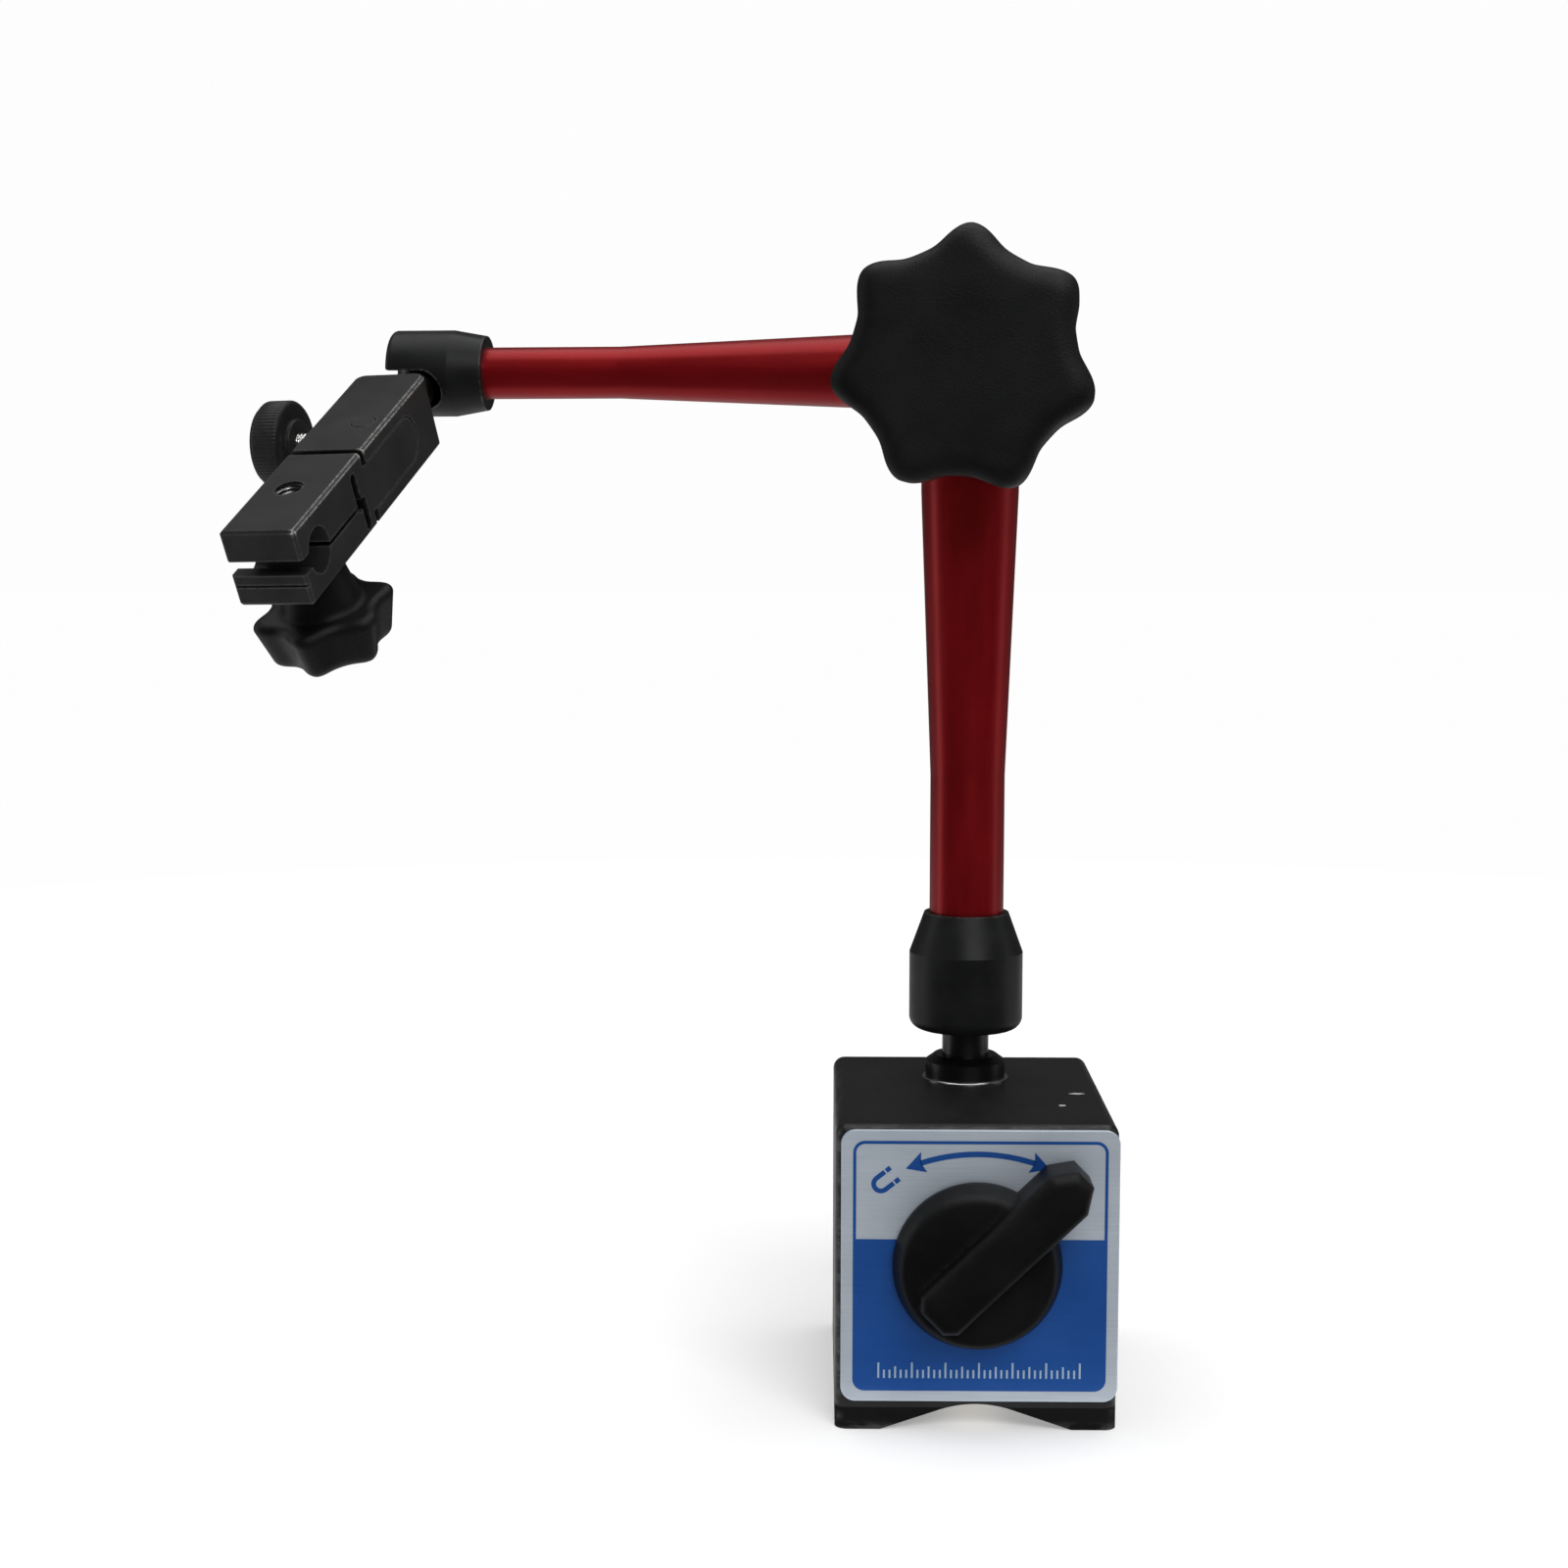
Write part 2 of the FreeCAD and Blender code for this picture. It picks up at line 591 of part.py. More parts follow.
# ---------------------------------------------------------------- lower ball joint
def lower_ball_stud():
    """Ball, neck, collar and thread, turned in one piece."""
    top = BASE_H + STUD_RING_T
    collar_top = BASE_H + COLLAR_H
    bottom = BASE_H - STUD_DEPTH + STUD_END_GAP
    neck_top = LOWER_BALL_Z - math.sqrt(LOWER_BALL_R**2 - LOWER_NECK_R**2) + NECK_OVERLAP
    profile = [(0, bottom), (STUD_THREAD_R - STUD_CHAMFER, bottom), (STUD_THREAD_R, bottom + STUD_CHAMFER),
               (STUD_THREAD_R, top), (COLLAR_R, top), (COLLAR_R, collar_top - COLLAR_BEVEL_H),
               (COLLAR_R - COLLAR_BEVEL_R, collar_top), (LOWER_NECK_R, collar_top),
               (LOWER_NECK_R, neck_top), (0, neck_top)]
    return turned(profile).fuse(ball(LOWER_BALL_R, (0, 0, LOWER_BALL_Z)))


def socket(ball_r, outer_r, end, length, top_r, spigot_r, spigot_len, mouth_r, lip_r, neck_r, edge_r):
    """A ball socket about Z, with the ball's centre at the origin and its mouth at the bottom.

    A bore lets the ball in from the top; the side slot, towards +Y, lets the neck swing to a right angle.
    """
    taper = length * SOCKET_TAPER
    body = turned([(0, -end), (outer_r, -end), (outer_r, length - end - taper), (top_r, length - end),
                   (0, length - end)])
    body = rounded(body, edge_r, at_level(Z, -end))
    body = body.cut(ball(ball_r + BALL_GAP, (0, 0, 0)))
    bore_top = length - end - spigot_len
    body = body.cut(rod(ball_r + BALL_GAP, (0, 0, 0), (0, 0, bore_top)))
    body = body.cut(rod(spigot_r, (0, 0, bore_top - OVER), (0, 0, length)))
    lip_z = -math.sqrt((ball_r + BALL_GAP)**2 - lip_r**2)
    body = body.cut(cone(lip_r, mouth_r, (0, 0, lip_z), (0, 0, -end - FIT / 2)))
    return body.cut(slot_cut(neck_r + SLOT_GAP, -Z, Y, outer_r + OVER))


def lower_socket():
    body = socket(LOWER_BALL_R, LOWER_SOCKET_R, LOWER_SOCKET_END, LOWER_SOCKET_LEN, LOWER_SOCKET_TOP_R,
                  LOWER_SPIGOT_R, LOWER_SPIGOT_LEN, LOWER_MOUTH_R, LOWER_LIP_R, LOWER_NECK_R,
                  LOWER_SOCKET_EDGE)
    body.translate(Vector(0, 0, LOWER_BALL_Z))
    return body


def pressure_pad(ball_r, neck_r, back):
    """A brass pad about Z with a hollow that seats on the ball, and clears its neck at a right angle."""
    pad = rod(ball_r - RUN, (0, 0, neck_r + SLOT_GAP), (0, 0, back))
    return pad.cut(ball(ball_r + BALL_GAP, (0, 0, 0)))


def lower_pressure_pad():
    pad = pressure_pad(LOWER_BALL_R, LOWER_NECK_R, LOWER_PAD_TOP)
    pad.translate(Vector(0, 0, LOWER_BALL_Z))
    return pad


def lower_tube():
    start = LOWER_BALL_Z - LOWER_SOCKET_END + LOWER_SOCKET_LEN
    end = ELBOW_Z - TUBE_ROOT
    spigot_r = LOWER_SPIGOT_R - FIT
    profile = [(0, start - LOWER_SPIGOT_LEN), (spigot_r, start - LOWER_SPIGOT_LEN), (spigot_r, start),
               (LOWER_TUBE_R, start), (LOWER_TUBE_R, start + LOWER_TUBE_PARALLEL),
               (LOWER_TUBE_TOP_R, end), (0, end)]
    tube = turned(profile)
    tube = tube.cut(rod(LOWER_TUBE_BORE, (0, 0, start - LOWER_SPIGOT_LEN - OVER), (0, 0, end + OVER)))
    root = end - ROOT_SPIGOT_LEN - SPIGOT_GAP
    return tube.cut(rod(LOWER_ROOT_BORE, (0, 0, root), (0, 0, end + OVER)))


# ---------------------------------------------------------------- elbow
def elbow_half(neck_r, spigot_r, bore):
    """Half of the lap joint about Y, on the +Y side, with its neck down along -Z."""
    disc = rod(DISC_R, (0, LAP_GAP, 0), (0, DISC_T, 0))
    disc = bevelled(disc, DISC_BEVEL, at_level(Y, DISC_T))
    neck = rod(neck_r, (0, 0, -TUBE_ROOT), (0, 0, -DISC_R / 2))
    neck = neck.fuse(rod(spigot_r - FIT, (0, 0, -TUBE_ROOT - ROOT_SPIGOT_LEN), (0, 0, -TUBE_ROOT)))
    neck = neck.cut(rod(DISC_SWEEP_R, (0, -FAR, 0), (0, LAP_GAP, 0)))
    body = disc.fuse(neck).removeSplitter()
    body = body.cut(rod(CAVITY_R, (0, -OVER, 0), (0, CAVITY_END, 0)))
    return body.cut(bore)


def rod_axis(plane_y, far_z):
    """Start and end of a push rod's centre line, in a frame with its arm down along -Z."""
    slope = math.atan2(CONE_BIG_R - CONE_SMALL_R, CONE_LEN)
    tip = (CONE_SMALL_R + CONE_BIG_R) / 2 + ROD_R / math.cos(slope) + FIT
    return (0, plane_y, -tip), (0, 0, far_z)


def rod_bore(plane_y, far_z):
    """Clearance for a push rod, and for its rounded end."""
    start, end = (Vector(*point) for point in rod_axis(plane_y, far_z))
    radius = ROD_R + ROD_CLEARANCE
    return rod(radius, start + unit(start - end) * radius, end)


def lower_elbow_housing():
    half = elbow_half(LOWER_TUBE_TOP_R, LOWER_ROOT_BORE, rod_bore(ROD_PLANE, LOWER_ROD_END))
    half = half.cut(rod(BOLT_GUIDE_R + RUN, (0, CAVITY_END - OVER, 0), (0, DISC_T + OVER, 0)))
    return placed(half, ELBOW).cut(bolt_key())


def upper_elbow_housing():
    half = elbow_half(UPPER_TUBE_ROOT_R, UPPER_ROOT_BORE, rod_bore(ROD_PLANE, UPPER_ROD_END))
    half = half.cut(rod(BOLT_R + BOLT_LOOSE, (0, CAVITY_END - OVER, 0), (0, DISC_T + OVER, 0)))
    half.rotate(Vector(0, 0, 0), Z, 180)
    half.Placement = Placement(Vector(0, 0, 0), UPPER_SWING).multiply(half.Placement)
    return placed(half, ELBOW)


def bolt_key():
    """Pin through the housing into the draw bolt's slot, so that the bolt slides and does not turn."""
    return placed(rod(KEY_R, (KEY_INNER, KEY_Y, 0), (KEY_OUTER, KEY_Y, 0)), ELBOW)


def elbow_friction_washer():
    return placed(ring(FRICTION_R, FRICTION_BORE, (0, -LAP_GAP, 0), (0, LAP_GAP, 0)), ELBOW)


def disc_spring():
    """Coned spring washer under the draw bolt's head."""
    profile = [(CONED_BORE, CONED_RISE), (CONED_R, 0), (CONED_R, CONED_T),
               (CONED_BORE, CONED_RISE + CONED_T)]
    washer = turned(profile, (0, DISC_T, 0), Y)
    return placed(washer, ELBOW)


def draw_bolt():
    """Pulled towards the knob, its two cones push both rods outwards."""
    under = DISC_T + BOLT_SHOULDER
    profile = [(0, under), (BOLT_HEAD_R, under), (BOLT_HEAD_R, under + BOLT_HEAD_RIM),
               (BOLT_CROWN_R, under + BOLT_CROWN_H), (0, under + BOLT_HEAD_T)]
    head = turned(profile, axis=Y)
    core = turned([(0, under), (0, -BOLT_END), (BOLT_R - BOLT_CHAMFER, -BOLT_END),
                   (BOLT_R, -BOLT_END + BOLT_CHAMFER), (BOLT_R, LOWER_CONE_Y - BOLT_STEP),
                   (CONE_SMALL_R, LOWER_CONE_Y), (CONE_BIG_R, LOWER_CONE_Y + CONE_LEN),
                   (CONE_SMALL_R, UPPER_CONE_Y - CONE_NECK), (CONE_SMALL_R, UPPER_CONE_Y),
                   (CONE_BIG_R, UPPER_CONE_Y + CONE_LEN), (BOLT_GUIDE_R, BOLT_GUIDE_Y),
                   (BOLT_GUIDE_R, under)], axis=Y)
    bolt = head.fuse(core).removeSplitter()
    half_slot = KEY_R + KEY_SLOT_GAP
    key_slot = block((KEY_SLOT_INNER, KEY_SLOT_START, -half_slot),
                     (KEY_SLOT_OUTER, KEY_SLOT_END, half_slot))
    return placed(bolt.cut(key_slot).cut(hex_socket(under + BOLT_HEAD_T)), ELBOW)


def hex_socket(open_end):
    """A hexagonal hole along Y for a key, down from a head's end."""
    angles = [corner * math.pi / 3 for corner in range(7)]
    corners = [Vector(BOLT_HEX_R * math.cos(angle), open_end, BOLT_HEX_R * math.sin(angle))
               for angle in angles]
    return Part.Face(Part.makePolygon(corners)).extrude(Vector(0, -BOLT_HEX_DEPTH, 0))


def thrust_washer():
    return placed(ring(THRUST_R, BOLT_R + BOLT_LOOSE, (0, -DISC_T - THRUST_T, 0), (0, -DISC_T, 0)), ELBOW)


def knob_insert():
    """Threaded bush moulded into the knob, which pulls the draw bolt when the knob is turned."""
    body = ring(INSERT_R, BOLT_R + RUN, (0, -INSERT_END, 0), (0, -DISC_T - THRUST_T - 0.1, 0))
    return placed(body, ELBOW)


def clamp_knob():
    """Seven-lobed knob about the elbow axis, with a hub towards the elbow."""
    body = star(KNOB_TIP_R, KNOB_VALLEY_R, KNOB_LOBES, KNOB_BACK, KNOB_FRONT, KNOB_EDGE, KNOB_EDGE,
                KNOB_POINT)
    body.rotate(Vector(0, 0, 0), Z, -KNOB_TURN)
    body = body.fuse(cone(KNOB_HUB_R, KNOB_HUB_ROOT_R, (0, 0, KNOB_HUB_START), (0, 0, KNOB_BACK)))
    body = body.cut(rod(INSERT_R, (0, 0, 0), (0, 0, INSERT_END)))
    body = body.cut(rod(BOLT_R + BOLT_ROOM, (0, 0, INSERT_END - OVER), (0, 0, INSERT_END + BOLT_ROOM_LEN)))
    body.Placement = Placement(Vector(0, 0, 0), Rotation(X, 90)).multiply(body.Placement)
    return placed(body, ELBOW)


def push_rod(plane_y, far_z):
    """A round-ended rod that carries the cone's push down an arm to its pressure pad."""
    start, end = rod_axis(plane_y, far_z)
    return rod(ROD_R, start, end).fuse(ball(ROD_R, start)).fuse(ball(ROD_R, end))


def lower_push_rod():
    return placed(push_rod(ROD_PLANE, LOWER_ROD_END), ELBOW)


def upper_push_rod():
    body = push_rod(-ROD_PLANE, UPPER_ROD_END)
    body.Placement = Placement(Vector(0, 0, 0), UPPER_SWING).multiply(body.Placement)
    return placed(body, ELBOW)


# ---------------------------------------------------------------- upper arm and upper ball joint
def upper_tube():
    end = UPPER_REACH + UPPER_SOCKET_END - UPPER_SOCKET_LEN
    spigot_r = UPPER_TUBE_R - FIT
    profile = [(0, TUBE_ROOT), (UPPER_TUBE_ROOT_R, TUBE_ROOT), (UPPER_TUBE_R, UPPER_TAPER_END),
               (UPPER_TUBE_R, end), (spigot_r, end), (spigot_r, end + UPPER_SPIGOT_LEN),
               (0, end + UPPER_SPIGOT_LEN)]
    tube = turned(profile, axis=-X)
    root = -TUBE_ROOT - ROOT_SPIGOT_LEN - SPIGOT_GAP
    taper_end = (-UPPER_TAPER_END, 0, 0)
    tube = tube.cut(rod(UPPER_ROOT_BORE, (-TUBE_ROOT + OVER, 0, 0), (root, 0, 0)))
    tube = tube.cut(cone(UPPER_TAPER_BORE, UPPER_TUBE_BORE, (root, 0, 0), taper_end))
    tube = tube.cut(rod(UPPER_TUBE_BORE, taper_end, (-UPPER_REACH, 0, 0)))
    return placed(tube, ELBOW)


def slot_direction():
    """In the elbow frame, the way the upper socket's slot faces: the head's side of the arm."""
    ahead = ELBOW.Rotation.inverted().multVec(HEAD.Rotation.multVec(-Y))
    return unit(ahead - X * ahead.dot(X))


def socket_frame():
    """Places a socket, built with its mouth down and its slot towards +Y, at the end of the upper arm."""
    slot = slot_direction()
    up = X
    side = slot.cross(up)
    centre = Vector(-UPPER_REACH, 0, 0)
    local = Placement(FreeCAD.Matrix(side.x, slot.x, up.x, centre.x, side.y, slot.y, up.y, centre.y,
                                     side.z, slot.z, up.z, centre.z, 0, 0, 0, 1))
    return ELBOW.multiply(local)


def upper_socket():
    body = socket(UPPER_BALL_R, UPPER_SOCKET_R, UPPER_SOCKET_END, UPPER_SOCKET_LEN, UPPER_SOCKET_TOP_R,
                  UPPER_TUBE_R, UPPER_SPIGOT_LEN, UPPER_MOUTH_R, UPPER_LIP_R, UPPER_NECK_R,
                  UPPER_SOCKET_EDGE)
    return placed(body, socket_frame())


def upper_pressure_pad():
    return placed(pressure_pad(UPPER_BALL_R, UPPER_NECK_R, UPPER_PAD_TOP), socket_frame())


def upper_ball_stud():
    start = -math.sqrt(UPPER_BALL_R**2 - UPPER_NECK_R**2) + NECK_OVERLAP
    collar = -NECK_LEN + UPPER_COLLAR_T
    end = -NECK_LEN - UPPER_STUD_END
    profile = [(0, start), (UPPER_NECK_R, start), (UPPER_NECK_R, collar + UPPER_COLLAR_BEVEL_H),
               (UPPER_COLLAR_R, collar), (UPPER_COLLAR_R, -NECK_LEN), (UPPER_STUD_R, -NECK_LEN),
               (UPPER_STUD_R, end), (0, end)]
    stud = turned(profile, axis=Y)
    return placed(stud.fuse(ball(UPPER_BALL_R, (0, 0, 0))), HEAD)


# ---------------------------------------------------------------- clamp head
def at(distance):
    """Y in the head frame of a point this far ahead of the rear block's rear face."""
    return -(NECK_LEN + distance)


def rear_block():
    """Fork, open to the front and to one side, that holds the clamp block's tongue."""
    half_w, half_t = HEAD_W / 2, HEAD_T / 2
    body = block((-half_w, at(REAR_LEN), -half_t), (half_w, at(0), half_t))
    body = rounded(body, REAR_CORNER, lambda edge: along(Z)(edge) and at_level(Y, at(0))(edge))
    body = bevelled(body, HEAD_BEVEL, lambda edge: along(Y)(edge) or at_level(Y, at(0))(edge))
    slot_r = FORK_SLOT / 2
    centre = at(FORK_END + slot_r)
    slot = block((FORK_WALL_X, at(REAR_LEN) - OVER, -slot_r), (half_w + OVER, centre, slot_r))
    slot = slot.fuse(rod(slot_r, (FORK_WALL_X, centre, 0), (half_w + OVER, centre, 0)))
    body = body.cut(slot)
    stud_end = at(UPPER_STUD_END + SPIGOT_GAP)
    body = body.cut(rod(UPPER_STUD_R + RUN, (0, at(0) + OVER, 0), (0, stud_end, 0)))
    body = body.cut(rod(PIN_R, (PIN_X, at(PIN_AT), -FAR), (PIN_X, at(PIN_AT), FAR)))
    return placed(body.cut(rod(FINE_R + RUN, (-FAR, at(FINE_AT), 0), (0, at(FINE_AT), 0))), HEAD)


def pivot_pin():
    half_t = HEAD_T / 2
    pin = rod(PIN_R, (PIN_X, at(PIN_AT), -half_t), (PIN_X, at(PIN_AT), half_t + PIN_PROUD))
    return placed(bevelled(pin, PIN_BEVEL, lambda edge: isinstance(edge.Curve, Part.Circle)), HEAD)


def clamp_block():
    """Split clamp with a stem bore, its flexure slits and the tongue that swings in the fork."""
    half_w, half_t = HEAD_W / 2, HEAD_T / 2
    start = REAR_LEN + JOINT_GAP
    body = block((-half_w, at(HEAD_LEN), -half_t), (half_w, at(start), half_t))
    body = bevelled(body, HEAD_BEVEL, lambda edge: along(Y)(edge) or at_level(Y, at(HEAD_LEN))(edge))
    tongue_r = FORK_SLOT / 2 - TONGUE_GAP
    centre = at(TONGUE_END + tongue_r)
    tongue = block((TONGUE_X, at(start + OVER), -tongue_r), (half_w, centre, tongue_r))
    tongue = tongue.fuse(rod(tongue_r, (TONGUE_X, centre, 0), (half_w, centre, 0)))
    body = body.fuse(tongue).removeSplitter()
    body = body.cut(rod(PIN_R + RUN, (PIN_X, at(PIN_AT), -FAR), (PIN_X, at(PIN_AT), FAR)))
    spring_hole = rod(SPRING_HOLE_R, (TONGUE_X - OVER, at(SPRING_AT), 0),
                      (SPRING_SEAT_X, at(SPRING_AT), 0))
    body = body.cut(spring_hole).cut(rod(STEM_R, (-FAR, at(STEM_AT), 0), (FAR, at(STEM_AT), 0)))
    body = body.cut(block((-FAR, at(HEAD_LEN + OVER), MOUTH_LOW), (FAR, at(STEM_AT), MOUTH_HIGH)))
    body = body.cut(block((-FAR, at(STEM_AT), LEAF_LOW), (FAR, at(LEAF_END), LEAF_HIGH)))
    body = body.cut(leaf_slit(*FRONT_SLIT)).cut(leaf_slit(*REAR_SLIT))
    nick = block((-FAR, at(HEAD_LEN + OVER), NICK_LOW), (FAR, at(HEAD_LEN - NICK_DEPTH), NICK_HIGH))
    body = body.cut(nick)
    split = (CLAMP_X, at(CLAMP_AT), LEAF_LOW)
    body = body.cut(rod(CLAMP_R + RUN, split, (CLAMP_X, at(CLAMP_AT), FAR)))
    body = body.cut(rod(CLAMP_R + CLAMP_ROOM, (CLAMP_X, at(CLAMP_AT), -FAR), split))
    return placed(body, HEAD)


def leaf_slit(distance, low, high):
    """A saw slit right across the block, rounded at its ends."""
    slit = block((-FAR, at(distance + SLIT_R), low), (FAR, at(distance - SLIT_R), high))
    for z in (low, high):
        slit = slit.fuse(rod(SLIT_R, (-FAR, at(distance), z), (FAR, at(distance), z)))
    return slit


def return_spring():
    """Coil that keeps the tongue against the fine screw."""
    start = FORK_WALL_X + SPRING_WIRE_R + SPRING_GAP
    end = SPRING_SEAT_X - SPRING_WIRE_R - SPRING_GAP
    helix = Part.makeHelix(SPRING_PITCH, end - start, SPRING_COIL_R)
    section = Part.Wire(Part.makeCircle(SPRING_WIRE_R, Vector(SPRING_COIL_R, 0, 0), Y))
    coil = Part.Wire(helix.Edges).makePipeShell([section], True, True)
    coil.Placement = Placement(Vector(start, at(SPRING_AT), 0), Rotation(Z, X))
    return placed(coil, HEAD)


def fine_screw_tip():
    """Swivelling brass tip in the fine screw's nose."""
    face = TONGUE_X - FINE_TIP_GAP
    back = face - FINE_TIP_T
    tip = rod(FINE_TIP_R, (back, at(FINE_AT), 0), (face, at(FINE_AT), 0))
    tip = tip.common(ball(FINE_TIP_DOME_R, (face - FINE_TIP_DOME_R, at(FINE_AT), 0)))
    stem = rod(FINE_TIP_STEM_R, (back - FINE_TIP_STEM_LEN, at(FINE_AT), 0), (back, at(FINE_AT), 0))
    return placed(tip.fuse(stem), HEAD)


def fine_screw():
    face = TONGUE_X - FINE_TIP_GAP - FINE_TIP_T
    end = -HEAD_W / 2 - FINE_STEM - FINE_IN_KNOB
    screw = rod(FINE_R, (face, at(FINE_AT), 0), (end, at(FINE_AT), 0))
    nose = rod(FINE_NOSE_BORE_R, (face - FINE_NOSE_DEPTH, at(FINE_AT), 0), (face + OVER, at(FINE_AT), 0))
    return placed(screw.cut(nose), HEAD)


def fine_knob():
    start = -HEAD_W / 2 - FINE_STEM
    face_r = FINE_KNOB_R - FINE_KNOB_EDGE
    profile = [(FINE_R, 0), (FINE_HUB_R, 0), (FINE_HUB_R, FINE_HUB_T), (face_r, FINE_HUB_T),
               (FINE_KNOB_R, FINE_HUB_T + FINE_KNOB_EDGE), (FINE_KNOB_R, FINE_KNOB_T - FINE_KNOB_EDGE),
               (face_r, FINE_KNOB_T), (0, FINE_KNOB_T), (0, FINE_IN_KNOB), (FINE_R, FINE_IN_KNOB)]
    return placed(turned(profile, (start, at(FINE_AT), 0), -X), HEAD)


def clamp_washer():
    top = -HEAD_T / 2
    start, end = (CLAMP_X, at(CLAMP_AT), top - WASHER_T), (CLAMP_X, at(CLAMP_AT), top)
    return placed(ring(WASHER_R, CLAMP_R + WASHER_ROOM, start, end), HEAD)


def clamp_screw():
    start = (CLAMP_X, at(CLAMP_AT), -STAR_BOTTOM + STAR_SCREW_DEPTH)
    return placed(rod(CLAMP_R, start, (CLAMP_X, at(CLAMP_AT), CLAMP_TOP)), HEAD)


def clamp_star_knob():
    """Six-lobed knob, drafted towards its free end, with a hub up to the washer."""
    body = star(STAR_TIP_R, STAR_VALLEY_R, STAR_LOBES, -STAR_BOTTOM, -STAR_TOP, STAR_LOW_EDGE,
                STAR_HIGH_EDGE, STAR_POINT, STAR_DRAFT)
    body.rotate(Vector(0, 0, 0), Z, STAR_TURN)
    top = -HEAD_T / 2 - WASHER_T
    body = body.fuse(cone(STAR_HUB_ROOT_R, STAR_HUB_R, (0, 0, -STAR_TOP), (0, 0, top)))
    body = body.cut(rod(CLAMP_R, (0, 0, -STAR_BOTTOM + STAR_SCREW_DEPTH), (0, 0, FAR)))
    body.translate(Vector(CLAMP_X, at(CLAMP_AT), 0))
    return placed(body, HEAD)


# ---------------------------------------------------------------- everything
def all_nodes():
    nodes = {}
    nodes.update(base_nodes())
    nodes.update(rivet_nodes())
    nodes.update(rotor_nodes())
    singles = [front_end_cap, rear_end_cap, faceplate, stop_pin, stud_ring, rotor_spindle,
               switch_knob, knob_set_screw, lower_ball_stud, lower_socket, lower_pressure_pad,
               lower_tube, lower_elbow_housing, upper_elbow_housing, elbow_friction_washer, disc_spring,
               draw_bolt, thrust_washer, knob_insert, clamp_knob, lower_push_rod, upper_push_rod,
               upper_tube, upper_socket, upper_pressure_pad, upper_ball_stud, rear_block, pivot_pin,
               clamp_block, return_spring, fine_screw_tip, fine_screw, fine_knob, clamp_washer,
               clamp_screw, clamp_star_knob, bolt_key]
    for make in singles:
        nodes[make.__name__] = make()
    return nodes


def main():
    os.makedirs("parts", exist_ok=True)
    for name, solid in all_nodes().items():
        print(f"{name:24s} valid {solid.isValid()}  solids {len(solid.Solids)}  volume {solid.Volume:9.1f}")
        solid.exportStep(f"parts/{name}.step")


main()
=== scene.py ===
"""Looks of the magnetic base stand: materials, printed graphics, knurls, threads and light, built around
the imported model.  Everything is in the model's own frame and in metres, except that the extra pieces'
vertices, and the sizes given for them, are in millimetres."""

import json
import math

import bpy
import bmesh
from mathutils import Matrix, Vector


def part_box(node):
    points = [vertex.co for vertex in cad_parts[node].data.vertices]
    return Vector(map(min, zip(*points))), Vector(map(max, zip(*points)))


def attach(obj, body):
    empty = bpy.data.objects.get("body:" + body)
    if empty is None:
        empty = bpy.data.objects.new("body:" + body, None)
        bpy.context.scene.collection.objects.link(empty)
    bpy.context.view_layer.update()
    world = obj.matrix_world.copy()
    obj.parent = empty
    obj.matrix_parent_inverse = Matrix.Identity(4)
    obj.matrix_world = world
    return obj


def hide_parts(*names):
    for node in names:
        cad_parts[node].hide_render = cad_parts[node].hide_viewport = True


MM = 0.001
TURN = 2 * math.pi
SHARP_ANGLE = 32
MERGE_WITHIN = 1e-7
FACING_DOWN = -0.5

# Colours are linear.  A pair is the darkest and the lightest tone of a mottled surface.
PAINT_TONES = (0.0062, 0.0062, 0.0065), (0.0110, 0.0110, 0.0113)
# Lighter grey for the base block's edges: scuffed paint, and a painted highlight along the edges.
PAINT_SCUFF_AND_HIGHLIGHT = (0.055, 0.055, 0.054)
CHIP_IRON = (0.80, 0.79, 0.77)
IRON_COLOUR = (0.50, 0.50, 0.49)
GROUND_BRASS = (0.66, 0.47, 0.20)
TURNED_BRASS = (0.70, 0.50, 0.22)
STEEL_COLOUR = (0.50, 0.50, 0.51)
BRIGHT_COLOUR = (0.55, 0.55, 0.555)
THREAD_COLOUR = (0.66, 0.655, 0.64)
# A darker steel colour for the thread inside the clamp block's tapped hole.
HOLE_THREAD_COLOUR = (0.20, 0.198, 0.195)
OXIDE_COLOUR = (0.060, 0.060, 0.061)
OXIDE_BOLT_COLOUR = (0.032, 0.032, 0.033)
RED_TONES = (0.190, 0.0010, 0.0028), (0.270, 0.0024, 0.0052)
PHOSPHATE_TONES = (0.0062, 0.0065, 0.0068), (0.0120, 0.0125, 0.0130)
PHOSPHATE_RUBBED = (0.085, 0.085, 0.086)
BLACKENED_TONES = (0.0150, 0.0150, 0.0153), (0.0250, 0.0248, 0.0245)
# Near black, painted into the head's slots and holes as shade.
BLACKENED_PAINTED_SHADE = (0.0015, 0.0015, 0.0015)
# Pale colour on the head's edges: rubbed wear, and on the top right-hand edge also a painted highlight.
BLACKENED_WEAR_AND_HIGHLIGHT = (0.42, 0.415, 0.405)
PLASTIC_TONES = (0.0022, 0.0024, 0.0024), (0.0048, 0.0050, 0.0052)
PLASTIC_RUBBED = (0.016, 0.016, 0.016)
SILVER_TONES = (0.365, 0.415, 0.475), (0.475, 0.525, 0.585)
BLUE_TONES = (0.0050, 0.062, 0.275), (0.0080, 0.078, 0.325)
PALE_TONES = (0.30, 0.42, 0.55), (0.36, 0.48, 0.60)

# Roughness of the turned metals, from the smoothest to the dullest patch.
POLISHED = (0.16, 0.28)
TURNED = (0.20, 0.34)
WORN = (0.22, 0.36)
BLACKENED = (0.28, 0.42)

# Chips in the enamel: a point on the block's top and a radius in millimetres, and a squeeze across.
CHIPS = ((16.3, -24.1, 55.0), 0.62, 1.0), ((19.9, -14.4, 55.0), 0.62, 0.45)
CHIP_RIM = 0.25 * MM, 0.35 * MM
PAINT_EDGE = 1.7 * MM, 0.5 * MM

# The head's top right-hand edge, painted bright as rubbed wear and as a painted highlight where the light
# catches it, in the head's frame.
RUBBED_LIT_EDGE_X = 5.6 * MM, 6.4 * MM
RUBBED_LIT_EDGE_Z = 5.8 * MM, 6.5 * MM

